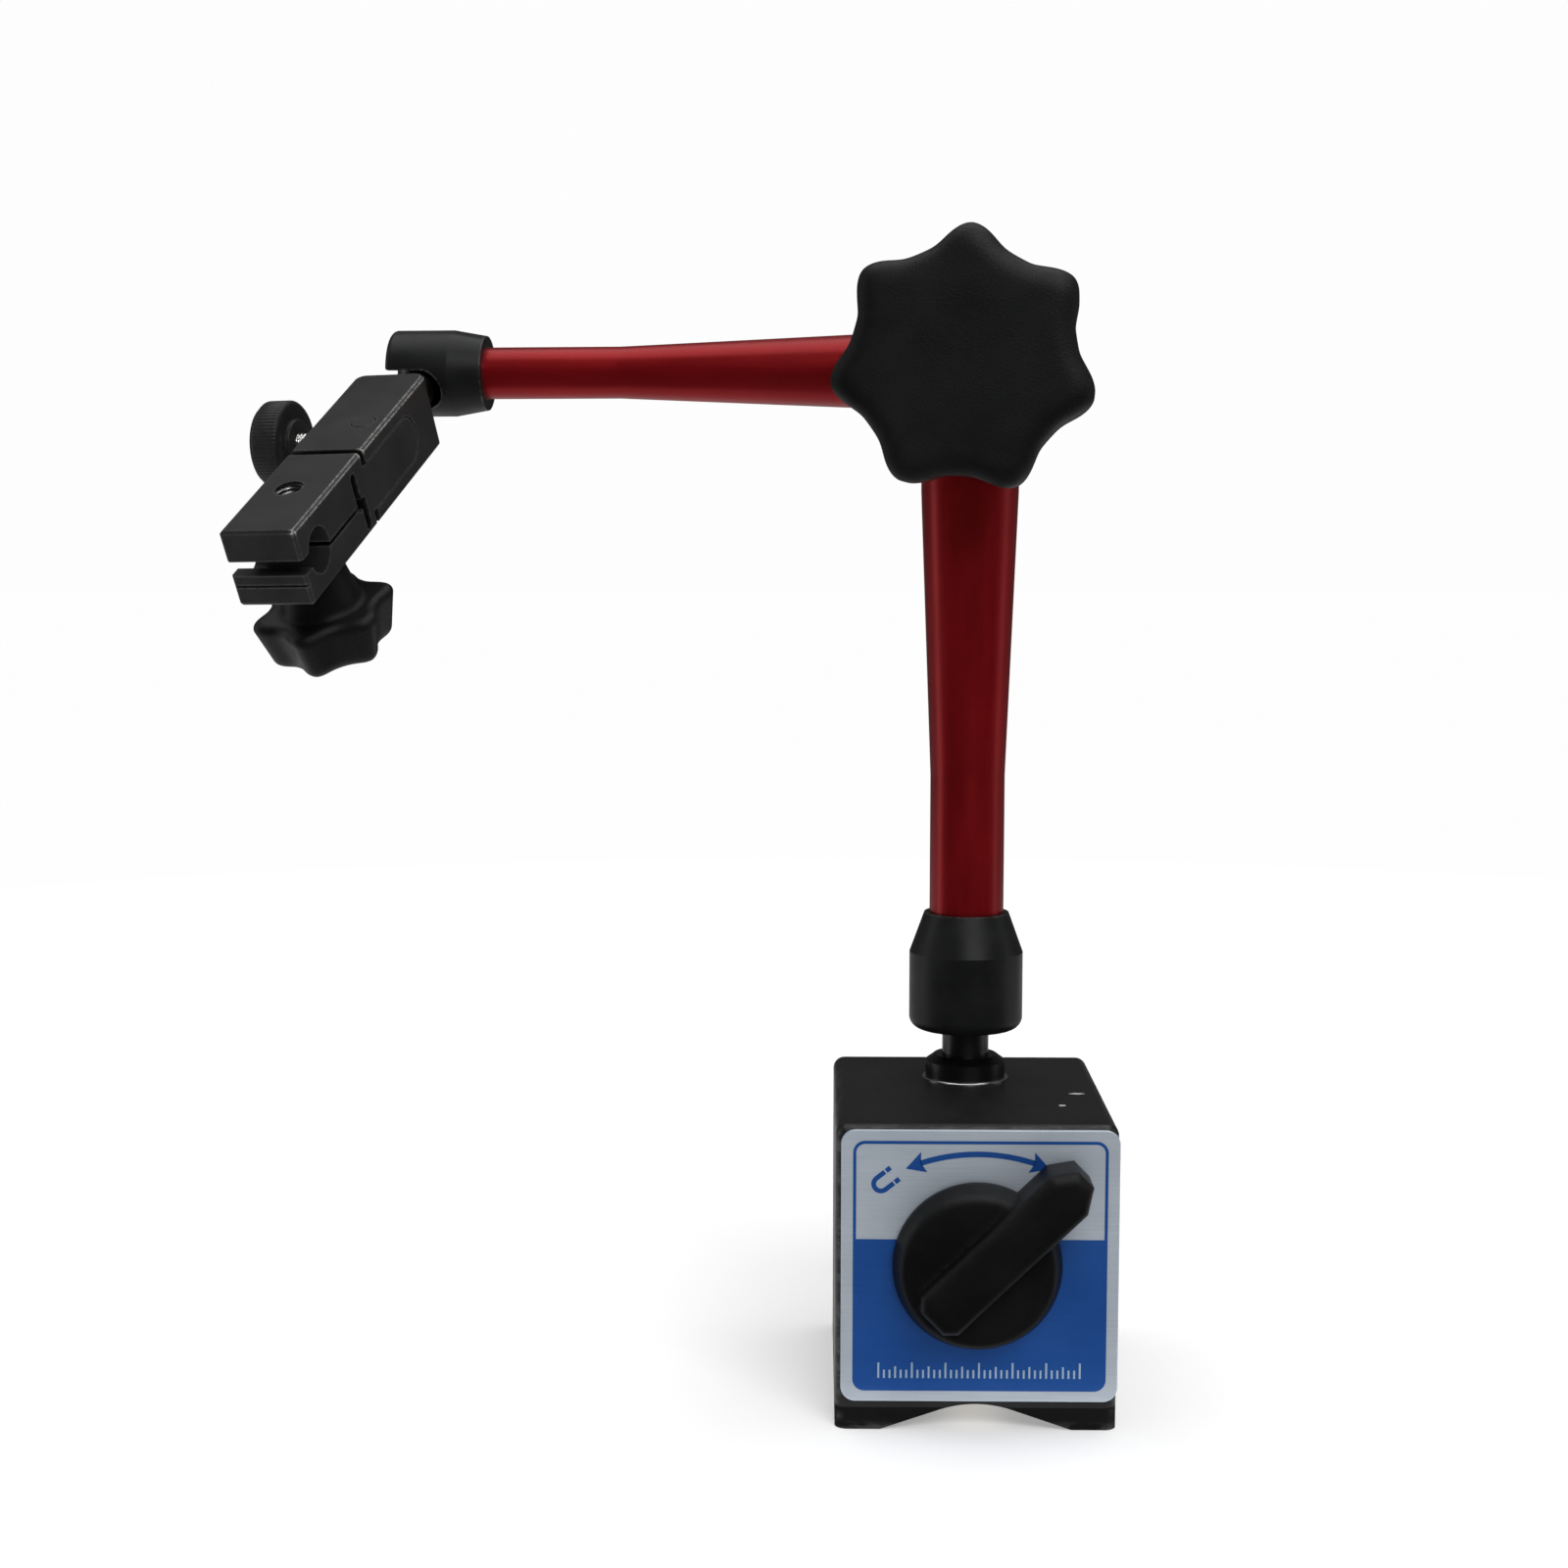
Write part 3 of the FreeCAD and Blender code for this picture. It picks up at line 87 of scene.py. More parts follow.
# Printed graphics stand a few hundredths of a millimetre proud of the plate.  Millimetres and degrees.
INK = 0.04
INK_SUNK = 0.005
OUTLINE_SIDE, OUTLINE_TOP, OUTLINE_LINE, OUTLINE_CORNER = 2.1, 1.95, 0.55, 2.1
PANEL_TOP = 34.7
PANEL_TOP_CORNER = 0.05
ARROW_CENTRE, ARROW_RADIUS, ARROW_HALF_LINE = (0.0, 18.0), 32.0, 0.5
ARROW_TURN, ARROW_HEAD, ARROW_BARB = 23.3, 6.2, 1.9
ARROW_NOTCH, ARROW_SHAFT = 0.82, 0.8
SYMBOL_AT, SYMBOL_TILT = (-16.3, 45.2), 38
SYMBOL_OUTER, SYMBOL_INNER, SYMBOL_BEND = 1.7, 0.85, -0.9
SYMBOL_ARM, POLE_FROM, POLE_TO = 0.95, 1.25, 2.2
STROKES, STROKES_FROM, STROKES_TO = 37, -17.3, 18.3
STROKE_FOOT, STROKE_HALF_WIDTH = 9.6, 0.17
STROKE_LONG, STROKE_MIDDLE, STROKE_SHORT = 2.8, 2.1, 1.5

# Fine screw, its knob, and the tapped hole in the clamp block.  Millimetres.
SCREW_CREST, SCREW_ROOT, SCREW_PITCH = 2.0, 1.62, 0.7
SCREW_END, SCREW_BORE, SCREW_BORE_DEPTH = 1.6, 0.85, 2.0
SCREW_CHAMFERS = 0.3, 0.2
KNURL_TEETH, KNURL_RADIUS, KNURL_DEPTH, KNURL_RUN_OUT = 72, 8.0, 0.14, 0.08
TAP_CREST, TAP_ROOT, TAP_OUTSIDE, TAP_PITCH = 2.14, 2.49, 2.52, 0.8
TAP_START, TAP_END = 0.25, 0.45
RINGS_PER_THREAD = 10

# How many of its own depths a thread's flank would climb in one pitch.
THREAD_FLANK = 2.5

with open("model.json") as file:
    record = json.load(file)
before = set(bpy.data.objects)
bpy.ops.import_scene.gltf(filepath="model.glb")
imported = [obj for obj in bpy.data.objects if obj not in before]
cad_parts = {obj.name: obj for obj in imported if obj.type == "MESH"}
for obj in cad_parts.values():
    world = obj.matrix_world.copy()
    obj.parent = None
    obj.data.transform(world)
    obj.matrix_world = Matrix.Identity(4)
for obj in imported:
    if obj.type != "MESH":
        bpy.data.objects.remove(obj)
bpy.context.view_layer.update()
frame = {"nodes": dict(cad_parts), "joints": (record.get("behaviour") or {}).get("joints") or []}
NODES = frame["nodes"]
JOINTS = {joint["name"]: joint for joint in frame["joints"]}
PLATE_LOW, PLATE_HIGH = (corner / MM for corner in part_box("faceplate"))


# ---------------------------------------------------------------- places read from the frame
def joint_point(name):
    return Vector(JOINTS[name]["pos_m"])


def joint_axis(name):
    return Vector(JOINTS[name]["axis"]).normalized()


def frame_of(across, back, top, origin):
    matrix = Matrix((across, back, top)).transposed().to_4x4()
    matrix.translation = origin
    return matrix


def head_matrix():
    """Head frame: origin at the upper ball's centre, X across, -Y ahead, Z out of the top of the head."""
    back = -joint_axis("upper_ball_swivel")
    across = back.cross(joint_axis("fine_swing")).normalized()
    return frame_of(across, back, across.cross(back), joint_point("upper_ball_swivel"))


def z_to(direction, origin):
    """A frame whose Z lies along a direction."""
    matrix = Vector(direction).to_track_quat("Z", "Y").to_matrix().to_4x4()
    matrix.translation = origin
    return matrix


def z_along(joint):
    return z_to(joint_axis(joint), joint_point(joint))


HEAD = head_matrix()
ARM_UP = z_to((0, 0, 1), Vector((0, 0, 0)))
ARM_OUT = z_to(joint_axis("elbow_fold").cross(Vector((0, 0, 1))), joint_point("elbow_fold"))
ELBOW_AXIS = z_along("elbow_fold")
SWITCH_AXIS = z_along("switch_turn")
FINE_AXIS = z_along("fine_screw_turn")
CLAMP_AXIS = z_along("clamp_screw_turn")
NECK_AXIS = z_along("upper_ball_swivel")


# ---------------------------------------------------------------- node helpers
def grey(value):
    return value, value, value


class Graph:
    """A material's node tree, with short calls for the nodes used here."""

    def __init__(self, name):
        self.material = bpy.data.materials.new(name)
        self.material.use_nodes = True
        self.tree = self.material.node_tree
        self.shader = self.tree.nodes["Principled BSDF"]
        self.coords = self.node("ShaderNodeTexCoord").outputs["Object"]

    def node(self, kind, **settings):
        made = self.tree.nodes.new(kind)
        for key, value in settings.items():
            setattr(made, key, value)
        return made

    def link(self, source, target):
        self.tree.links.new(source, target)

    def feed(self, value, socket):
        """Links another node's output, or sets a number or a colour."""
        if isinstance(value, bpy.types.NodeSocket):
            self.link(value, socket)
        elif isinstance(value, (int, float)):
            socket.default_value = value
        else:
            socket.default_value = (*value, 1)

    def surface(self, **sockets):
        """Feeds the shader's own sockets."""
        for key, value in sockets.items():
            self.feed(value, self.shader.inputs[key.replace("_", " ")])

    def mapping(self, kind="POINT", source=None, **values):
        made = self.node("ShaderNodeMapping", vector_type=kind)
        for key, value in values.items():
            made.inputs[key.capitalize()].default_value = value
        self.link(source or self.coords, made.inputs["Vector"])
        return made.outputs["Vector"]

    def local(self, matrix):
        """Object coordinates seen from another frame."""
        return self.mapping("TEXTURE", location=matrix.translation, rotation=matrix.to_euler())

    def stretched(self, x, y, z, source=None):
        """Coordinates whose unit is 1/x, 1/y and 1/z metres."""
        return self.mapping(source=source, scale=(x, y, z))

    def split(self, source):
        made = self.node("ShaderNodeSeparateXYZ")
        self.link(source, made.inputs[0])
        return made.outputs

    def length(self, source):
        made = self.node("ShaderNodeVectorMath", operation="LENGTH")
        self.link(source, made.inputs[0])
        return made.outputs["Value"]

    def noise(self, scale, detail, roughness, source=None):
        """Clouds, scale of them to a unit of the source, 0 to 1 and mostly near a half."""
        made = self.node("ShaderNodeTexNoise")
        made.inputs["Scale"].default_value = scale
        made.inputs["Detail"].default_value = detail
        made.inputs["Roughness"].default_value = roughness
        self.link(source or self.coords, made.inputs["Vector"])
        return made.outputs["Fac"]

    def cells(self, scale, source=None):
        """Distance from the nearest of scattered points, scale of them to a unit of the source."""
        made = self.node("ShaderNodeTexVoronoi", feature="F1")
        made.inputs["Scale"].default_value = scale
        self.link(source or self.coords, made.inputs["Vector"])
        return made.outputs["Distance"]

    def mix(self, factor, first, second):
        made = self.node("ShaderNodeMix", data_type="RGBA")
        for place, value in (("Factor", factor), (6, first), (7, second)):
            self.feed(value, made.inputs[place])
        return made.outputs[2]

    def math(self, operation, first, second=0.0, clamp=False):
        made = self.node("ShaderNodeMath", operation=operation, use_clamp=clamp)
        for socket, value in zip(made.inputs, (first, second)):
            self.feed(value, socket)
        return made.outputs["Value"]

    def spread(self, value, from_low, from_high, to_low=0.0, to_high=1.0):
        """Stretches a range of a value to another range, and clamps it."""
        made = self.node("ShaderNodeMapRange")
        for key, number in (("From Min", from_low), ("From Max", from_high),
                            ("To Min", to_low), ("To Max", to_high)):
            made.inputs[key].default_value = number
        self.link(value, made.inputs["Value"])
        return made.outputs["Result"]

    def bump(self, height, distance, strength, below=None):
        made = self.node("ShaderNodeBump")
        made.inputs["Strength"].default_value = strength
        made.inputs["Distance"].default_value = distance
        self.link(height, made.inputs["Height"])
        if below is not None:
            self.link(below, made.inputs["Normal"])
        return made.outputs["Normal"]

    def soft_normal(self, radius):
        """The surface's direction with its edges rolled over by this radius."""
        bevel = self.node("ShaderNodeBevel", samples=6)
        bevel.inputs["Radius"].default_value = radius
        return bevel.outputs["Normal"]

    def edge_wear(self, radius, low, high):
        """1 on edges sharper than a rounding of this radius, 0 on flats."""
        geometry = self.node("ShaderNodeNewGeometry")
        dot = self.node("ShaderNodeVectorMath", operation="DOT_PRODUCT")
        self.link(self.soft_normal(radius), dot.inputs[0])
        self.link(geometry.outputs["Normal"], dot.inputs[1])
        return self.spread(dot.outputs["Value"], high, low)

    def crevice(self, reach, low, high):
        """1 deep in slots and holes narrower than this, 0 in the open."""
        made = self.node("ShaderNodeAmbientOcclusion", samples=6)
        made.inputs["Distance"].default_value = reach
        return self.spread(made.outputs["AO"], high, low)

    def block_edges(self, low, high, inner, outer):
        """1 along the edges of an upright block with rounded edges, 0 on its flats."""
        places = self.split(self.coords)
        near = []
        for axis in range(3):
            half = (high[axis] - low[axis]) / 2
            offset = self.math("ABSOLUTE", self.math("SUBTRACT", places[axis], low[axis] + half))
            near.append(self.spread(offset, half - inner, half - outer))
        pairs = [self.math("MINIMUM", near[first], near[second])
                 for first, second in ((0, 1), (0, 2), (1, 2))]
        return self.math("MAXIMUM", self.math("MAXIMUM", pairs[0], pairs[1]), pairs[2])

    def lathe_lines(self, source, line, wander):
        """Fine turned rings along the source's Z, one every line metres, drifting with a noise."""
        along = self.math("ADD", self.math("DIVIDE", self.split(source)["Z"], line), wander)
        return self.math("SINE", self.math("MULTIPLY", along, TURN))


# ---------------------------------------------------------------- materials
def chip_mask(g):
    """1 on the chips, with ragged rims."""
    wobble = g.math("MULTIPLY", g.noise(1500, detail=2, roughness=0.5), 0.6 * MM)
    masks = []
    for (x, y, z), size, squeeze in CHIPS:
        centred = g.mapping(location=(-x * MM * squeeze, -y * MM, -z * MM), scale=(squeeze, 1, 1))
        reach = g.math("ADD", g.length(centred), wobble)
        inside, outside = (size * MM + rim for rim in CHIP_RIM)
        masks.append(g.spread(reach, inside, outside, 1.0, 0.0))
    return g.math("MAXIMUM", *masks, clamp=True)


def black_paint(name, chipped):
    """Semi-gloss enamel on a machined block: orange peel, dust nibs, scuffed edges that also carry a painted
    highlight, chips to bright iron.
    """
    g = Graph(name)
    cloud = g.noise(38, detail=5, roughness=0.6)
    base = g.mix(g.spread(cloud, 0.35, 0.7), *PAINT_TONES)
    low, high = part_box("pole_block_left")[0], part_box("pole_block_right")[1]
    edge = g.block_edges(low, high, *PAINT_EDGE)
    edge_scuffs_and_highlight = g.spread(g.noise(430, detail=5, roughness=0.7, source=g.stretched(0.45, 0.45, 1.6)), 0.44, 0.60)
    # Lighter grey along the block's edges, in ragged patches: scuffed paint, and also a painted edge
    # highlight.
    colour = g.mix(g.math("MULTIPLY", edge, edge_scuffs_and_highlight, clamp=True), base, PAINT_SCUFF_AND_HIGHLIGHT)
    smear = g.noise(120, detail=6, roughness=0.65, source=g.stretched(1, 0.35, 1))
    rough = g.spread(smear, 0.3, 0.75, 0.34, 0.50)
    if chipped:
        chip = chip_mask(g)
        colour = g.mix(chip, colour, CHIP_IRON)
        rough = g.mix(chip, rough, grey(0.35))
        g.surface(Metallic=g.math("MULTIPLY", chip, 0.25))
    peel = g.noise(900, detail=3, roughness=0.5)
    nibs = g.spread(g.cells(420), 0.0, 0.10, 1.0, 0.0)
    height = g.math("ADD", peel, g.math("MULTIPLY", nibs, 0.8))
    g.surface(Base_Color=colour, Roughness=rough, Normal=g.bump(height, distance=0.06 * MM, strength=0.55),
              Specular_IOR_Level=0.32)
    return g.material


def ground_metal(name, colour):
    """Surface-ground metal: fine straight scratches along Y."""
    g = Graph(name)
    lines = g.noise(1, detail=4, roughness=0.7, source=g.stretched(5200, 60, 5200))
    patch = g.spread(g.noise(70, detail=4, roughness=0.6), 0.3, 0.7)
    dark = tuple(c * 0.72 for c in colour)
    g.surface(Base_Color=g.mix(patch, dark, colour), Roughness=g.spread(lines, 0.25, 0.75, 0.24, 0.42),
              Normal=g.bump(lines, distance=0.02 * MM, strength=0.5), Metallic=1.0)
    return g.material


def turned_metal(name, colour, rough, axis_matrix):
    """Metal off a lathe: fine rings about the part's own axis (Z of the given frame)."""
    g = Graph(name)
    source = g.local(axis_matrix)
    wander = g.math("MULTIPLY", g.noise(300, detail=3, roughness=0.6, source=source), 1.6)
    rings = g.lathe_lines(source, 0.22 * MM, wander)
    patch = g.noise(90, detail=5, roughness=0.6, source=source)
    dark = tuple(c * 0.8 for c in colour)
    g.surface(Base_Color=g.mix(g.spread(patch, 0.3, 0.72), dark, colour),
              Roughness=g.spread(patch, 0.3, 0.7, *rough),
              Normal=g.bump(rings, distance=0.006 * MM, strength=0.6), Metallic=1.0)
    return g.material


def red_anodised(name, axis_matrix):
    """Deep red dyed anodising on turned aluminium, along Z of the given frame."""
    g = Graph(name)
    source = g.local(axis_matrix)
    streak = g.noise(1, detail=5, roughness=0.62, source=g.stretched(260, 260, 26, source))
    cloud = g.noise(46, detail=4, roughness=0.55, source=source)
    tone = g.math("MULTIPLY", g.math("ADD", streak, cloud), 0.5)
    wander = g.math("MULTIPLY", g.noise(420, detail=2, roughness=0.5, source=source), 1.4)
    rings = g.bump(g.lathe_lines(source, 0.24 * MM, wander), distance=0.0035 * MM, strength=0.5)
    pores = g.noise(5200, detail=2, roughness=0.5, source=source)
    g.surface(Base_Color=g.mix(g.spread(tone, 0.36, 0.64), *RED_TONES),
              Roughness=g.spread(streak, 0.3, 0.7, 0.33, 0.45),
              Normal=g.bump(pores, distance=0.012 * MM, strength=0.35, below=rings),
              Metallic=0.65, Specular_IOR_Level=0.3, Coat_Weight=0.10, Coat_Roughness=0.22)
    return g.material


def charcoal_satin(name, axis_matrix):
    """Phosphated and oiled steel: fine crystal texture with a soft sheen, and rubbed rims."""
    g = Graph(name)
    source = g.local(axis_matrix)
    grain = g.noise(2600, detail=4, roughness=0.65, source=source)
    cloud = g.noise(110, detail=5, roughness=0.6, source=source)
    base = g.mix(g.spread(cloud, 0.32, 0.7), *PHOSPHATE_TONES)
    ragged = g.spread(g.noise(900, detail=3, roughness=0.7, source=source), 0.40, 0.62)
    edge = g.math("MULTIPLY", g.edge_wear(0.7 * MM, low=0.86, high=0.99), ragged, clamp=True)
    g.surface(Base_Color=g.mix(edge, base, PHOSPHATE_RUBBED),
              Roughness=g.spread(cloud, 0.3, 0.72, 0.36, 0.50),
              Normal=g.bump(grain, distance=0.03 * MM, strength=0.45), Metallic=0.15, Specular_IOR_Level=0.20)
    return g.material


def black_oxide(name):
    """Blackened steel: oily depth, faint milling marks, painted shade in the slots and holes, and edges
    rubbed bright, brightest on the top right-hand edge where it is also a painted highlight.
    """
    g = Graph(name)
    source = g.local(HEAD)
    cloud = g.noise(95, detail=6, roughness=0.62, source=source)
    marks = g.noise(1, detail=3, roughness=0.6, source=g.stretched(420, 2600, 420, source))
    base = g.mix(g.spread(cloud, 0.3, 0.72), *BLACKENED_TONES)
    ragged = g.spread(g.noise(1300, detail=3, roughness=0.7, source=source), 0.32, 0.54)
    place = g.split(source)
    # Edges turn pale: faintly on all edges as wear, fully on the top right-hand edge, where it is also a
    # painted highlight.
    rubbed_and_lit = g.math("MULTIPLY", g.spread(place["X"], *RUBBED_LIT_EDGE_X), g.spread(place["Z"], *RUBBED_LIT_EDGE_Z))
    edge = g.math("MULTIPLY", g.edge_wear(0.7 * MM, low=0.90, high=0.985), ragged)
    edge = g.math("MULTIPLY", edge, g.spread(rubbed_and_lit, 0.0, 1.0, 0.10, 1.0), clamp=True)
    # Painted shade: the colour darkens to near black deep in the slots and holes.
    painted_shade = g.mix(g.crevice(5.0 * MM, low=0.15, high=0.85), base, BLACKENED_PAINTED_SHADE)
    g.surface(Base_Color=g.mix(edge, painted_shade, BLACKENED_WEAR_AND_HIGHLIGHT),
              Roughness=g.mix(edge, g.spread(cloud, 0.3, 0.72, 0.30, 0.43), grey(0.27)),
              Normal=g.bump(marks, distance=0.008 * MM, strength=0.5), Metallic=0.1, Specular_IOR_Level=0.13)
    return g.material


def moulded_black(name, source_matrix, grain, roll):
    """Black plastic from a spark-eroded mould: even grain, a few shiny rubbed patches, edges rolled over."""
    g = Graph(name)
    source = g.local(source_matrix)
    pits = g.math("MULTIPLY", g.cells(1 / grain, source=source), 0.7)
    fine = g.noise(0.9 / grain, detail=3, roughness=0.6, source=source)
    rub = g.noise(60, detail=5, roughness=0.6, source=source)
    base = g.mix(g.spread(rub, 0.35, 0.72), *PLASTIC_TONES)
    ragged = g.spread(fine, 0.40, 0.62)
    edge = g.math("MULTIPLY", g.edge_wear(1.2 * MM, low=0.80, high=0.99), ragged, clamp=True)
    height = g.math("ADD", pits, fine)
    g.surface(Base_Color=g.mix(edge, base, PLASTIC_RUBBED), Roughness=g.spread(rub, 0.32, 0.74, 0.40, 0.54),
              Normal=g.bump(height, distance=0.05 * MM, strength=0.5, below=g.soft_normal(roll)),
              Specular_IOR_Level=0.24)
    return g.material


def printed(name, tones):
    """Screen-printed lacquer on the aluminium plate: faint mottling and fine brushing underneath."""
    g = Graph(name)
    brush = g.noise(1, detail=4, roughness=0.6, source=g.stretched(90, 90, 4200))
    cloud = g.noise(55, detail=4, roughness=0.55)
    tone = g.math("MULTIPLY", g.math("ADD", g.math("MULTIPLY", brush, 0.7), cloud), 0.6)
    g.surface(Base_Color=g.mix(g.spread(tone, 0.35, 0.68), *tones),
              Roughness=g.spread(cloud, 0.3, 0.7, 0.30, 0.42),
              Normal=g.bump(brush, distance=0.01 * MM, strength=0.35),
              Metallic=0.2, Specular_IOR_Level=0.3, Coat_Weight=0.12, Coat_Roughness=0.22)
    return g.material


PAINT = black_paint("black_paint", chipped=False)
CHIPPED = black_paint("chipped_paint", chipped=True)
IRON = ground_metal("ground_iron", IRON_COLOUR)
BRASS_GROUND = ground_metal("ground_brass", GROUND_BRASS)
BRASS = turned_metal("turned_brass", TURNED_BRASS, TURNED, ARM_UP)
STEEL = turned_metal("turned_steel", STEEL_COLOUR, TURNED, ELBOW_AXIS)
BRIGHT = turned_metal("bright_plate", BRIGHT_COLOUR, POLISHED, ARM_UP)
BRIGHT_FINE = turned_metal("bright_thread", THREAD_COLOUR, POLISHED, FINE_AXIS)
DARK_HOLE_STEEL = turned_metal("dark_hole_thread", HOLE_THREAD_COLOUR, WORN, CLAMP_AXIS)
RED_LOWER = red_anodised("red_anodised_lower", ARM_UP)
RED_UPPER = red_anodised("red_anodised_upper", ARM_OUT)
RED_ELBOW = red_anodised("red_anodised_elbow", ELBOW_AXIS)
GREY_LOWER = charcoal_satin("charcoal_lower", ARM_UP)
GREY_UPPER = charcoal_satin("charcoal_upper", ARM_OUT)
OXIDE = black_oxide("black_oxide")
OXIDE_TURNED = turned_metal("black_oxide_turned", OXIDE_COLOUR, BLACKENED, ARM_UP)
OXIDE_NECK = turned_metal("black_oxide_neck", OXIDE_COLOUR, BLACKENED, NECK_AXIS)
OXIDE_BOLT = turned_metal("black_oxide_bolt", OXIDE_BOLT_COLOUR, BLACKENED, ELBOW_AXIS)
KNOB_BLACK = moulded_black("moulded_black_knob", ELBOW_AXIS, grain=0.45 * MM, roll=5.0 * MM)
SWITCH_BLACK = moulded_black("moulded_black_switch", SWITCH_AXIS, grain=0.4 * MM, roll=2.0 * MM)
STAR_BLACK = moulded_black("moulded_black_star", CLAMP_AXIS, grain=0.4 * MM, roll=2.0 * MM)
SILVER_PRINT = printed("silver_print", SILVER_TONES)
BLUE_PRINT = printed("blue_print", BLUE_TONES)
PALE_PRINT = printed("pale_print", PALE_TONES)


# ---------------------------------------------------------------- materials on the CAD pieces
def give(node, material):
    mesh = NODES[node].data
    mesh.materials.clear()
    mesh.materials.append(material)
    for polygon in mesh.polygons:
        polygon.material_index = 0


def smooth(thing, angle=SHARP_ANGLE):
    """Smooth shading that keeps edges sharper than this, in degrees."""
    mesh = thing.data
    mesh.shade_smooth()
    mesh.set_sharp_from_angle(angle=math.radians(angle))


def bare_underside(node, material):
    """The ground faces that stand on the work are not painted."""
    mesh = NODES[node].data
    mesh.materials.append(material)
    for polygon in mesh.polygons:
        if polygon.normal.z < FACING_DOWN:
            polygon.material_index = 1


NODE_MATERIALS = {
    "pole_block_left": PAINT, "pole_block_right": CHIPPED, "divider_top": PAINT, "divider_bottom": PAINT,
    "tie_rivet_1": PAINT, "tie_rivet_2": PAINT, "tie_rivet_3": PAINT, "tie_rivet_4": PAINT,
    "front_end_cap": BRASS, "rear_end_cap": PAINT, "faceplate": SILVER_PRINT,
    "stop_pin": BRIGHT, "stud_ring": BRIGHT, "rotor_magnet": OXIDE_TURNED,
    "rotor_shoe_upper": IRON, "rotor_shoe_lower": IRON,
    "rotor_spacer_front": BRASS, "rotor_spacer_rear": BRASS, "rotor_spindle": STEEL,
    "switch_knob": SWITCH_BLACK, "knob_set_screw": OXIDE_TURNED,
    "lower_ball_stud": OXIDE_TURNED, "lower_socket": GREY_LOWER, "lower_tube": RED_LOWER,
    "lower_elbow_housing": RED_ELBOW, "bolt_key": STEEL, "disc_spring": STEEL, "thrust_washer": STEEL,
    "lower_push_rod": STEEL, "lower_pressure_pad": BRASS, "draw_bolt": OXIDE_BOLT, "clamp_knob": KNOB_BLACK,
    "knob_insert": BRASS, "upper_elbow_housing": RED_ELBOW, "elbow_friction_washer": STEEL,
    "upper_tube": RED_UPPER, "upper_socket": GREY_UPPER, "upper_push_rod": STEEL,
    "upper_pressure_pad": BRASS, "upper_ball_stud": OXIDE_NECK, "rear_block": OXIDE, "pivot_pin": OXIDE,
    "return_spring": STEEL, "fine_screw_tip": BRASS, "fine_screw": BRIGHT_FINE, "fine_knob": OXIDE,
    "clamp_block": OXIDE, "clamp_washer": OXIDE, "clamp_screw": BRIGHT_FINE, "clamp_star_knob": STAR_BLACK,
}
for node_name, node_material in NODE_MATERIALS.items():
    give(node_name, node_material)
    smooth(NODES[node_name])
bare_underside("pole_block_left", IRON)
bare_underside("pole_block_right", IRON)
bare_underside("divider_bottom", BRASS_GROUND)


# ---------------------------------------------------------------- detail pieces
def put(thing_name, data):
    """A new object in the scene."""
    made = bpy.data.objects.new(thing_name, data)
    bpy.context.scene.collection.objects.link(made)
    return made


def add_piece(name, vertices, faces, material, body, sharp=SHARP_ANGLE):
    """A mesh piece, its vertices in millimetres, that moves with a CAD body."""
    mesh = bpy.data.meshes.new(name)
    mesh.from_pydata([Vector(vertex) * MM for vertex in vertices], [], faces)
    mesh.materials.append(material)
    piece = put(name, mesh)
    built = bmesh.new()
    built.from_mesh(mesh)
    bmesh.ops.remove_doubles(built, verts=built.verts, dist=MERGE_WITHIN)
    bmesh.ops.recalc_face_normals(built, faces=built.faces)
    built.to_mesh(mesh)
    built.free()
    smooth(piece, sharp)
    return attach(piece, body)


class Print:
    """Collects flat shapes on the plate, given as (x, z) outlines, and raises them into one piece."""

    def __init__(self, name, material, layer=1):
        self.name, self.material = name, material
        self.back = PLATE_LOW.y - INK * (layer - 1) + INK_SUNK
        self.front = PLATE_LOW.y - INK * layer
        self.vertices, self.faces = [], []

    def shape(self, outline):
        """A filled outline."""
        start, count = len(self.vertices), len(outline)
        for depth in (self.front, self.back):
            self.vertices += [(x, depth, z) for x, z in outline]
        self.faces.append(tuple(range(start, start + count)))
        self.faces.append(tuple(range(start + 2 * count - 1, start + count - 1, -1)))
        for i in range(count):
            j = (i + 1) % count
            self.faces.append((start + i, start + count + i, start + count + j, start + j))

    def band(self, outer, inner, closed=False):
        """The strip between two paths of the same number of points."""
        count = len(outer)
        start = len(self.vertices)
        for path in (outer, inner):
            for depth in (self.front, self.back):
                self.vertices += [(x, depth, z) for x, z in path]
        of, ob, nf, nb = (start + k * count for k in range(4))
        for i in range(count if closed else count - 1):
            j = (i + 1) % count
            self.faces += [(of + i, of + j, nf + j, nf + i), (ob + j, ob + i, nb + i, nb + j),
                           (of + j, of + i, ob + i, ob + j), (nf + i, nf + j, nb + j, nb + i)]
        if not closed:
            last = count - 1
            self.faces += [(of, nf, nb, ob), (of + last, ob + last, nb + last, nf + last)]

    def finish(self):
        add_piece(self.name, self.vertices, self.faces, self.material, "base")


def rounded_rectangle(left, right, low, high, radii, steps=10):
    """Corners in order: lower right, upper right, upper left, lower left."""
    corners = [(right, low, -1, 1, 270), (right, high, -1, -1, 0),
               (left, high, 1, -1, 90), (left, low, 1, 1, 180)]
    path = []
    for (x, z, sx, sz, start), radius in zip(corners, radii):
        for k in range(steps + 1):
            angle = math.radians(start + 90 * k / steps)
            path.append((x + radius * (sx + math.cos(angle)), z + radius * (sz + math.sin(angle))))
    return path


def on_arc(radius, degrees):
    """A point of the arrow, at an angle clockwise from straight up."""
    angle = math.radians(degrees)
    return ARROW_CENTRE[0] + radius * math.sin(angle), ARROW_CENTRE[1] + radius * math.cos(angle)


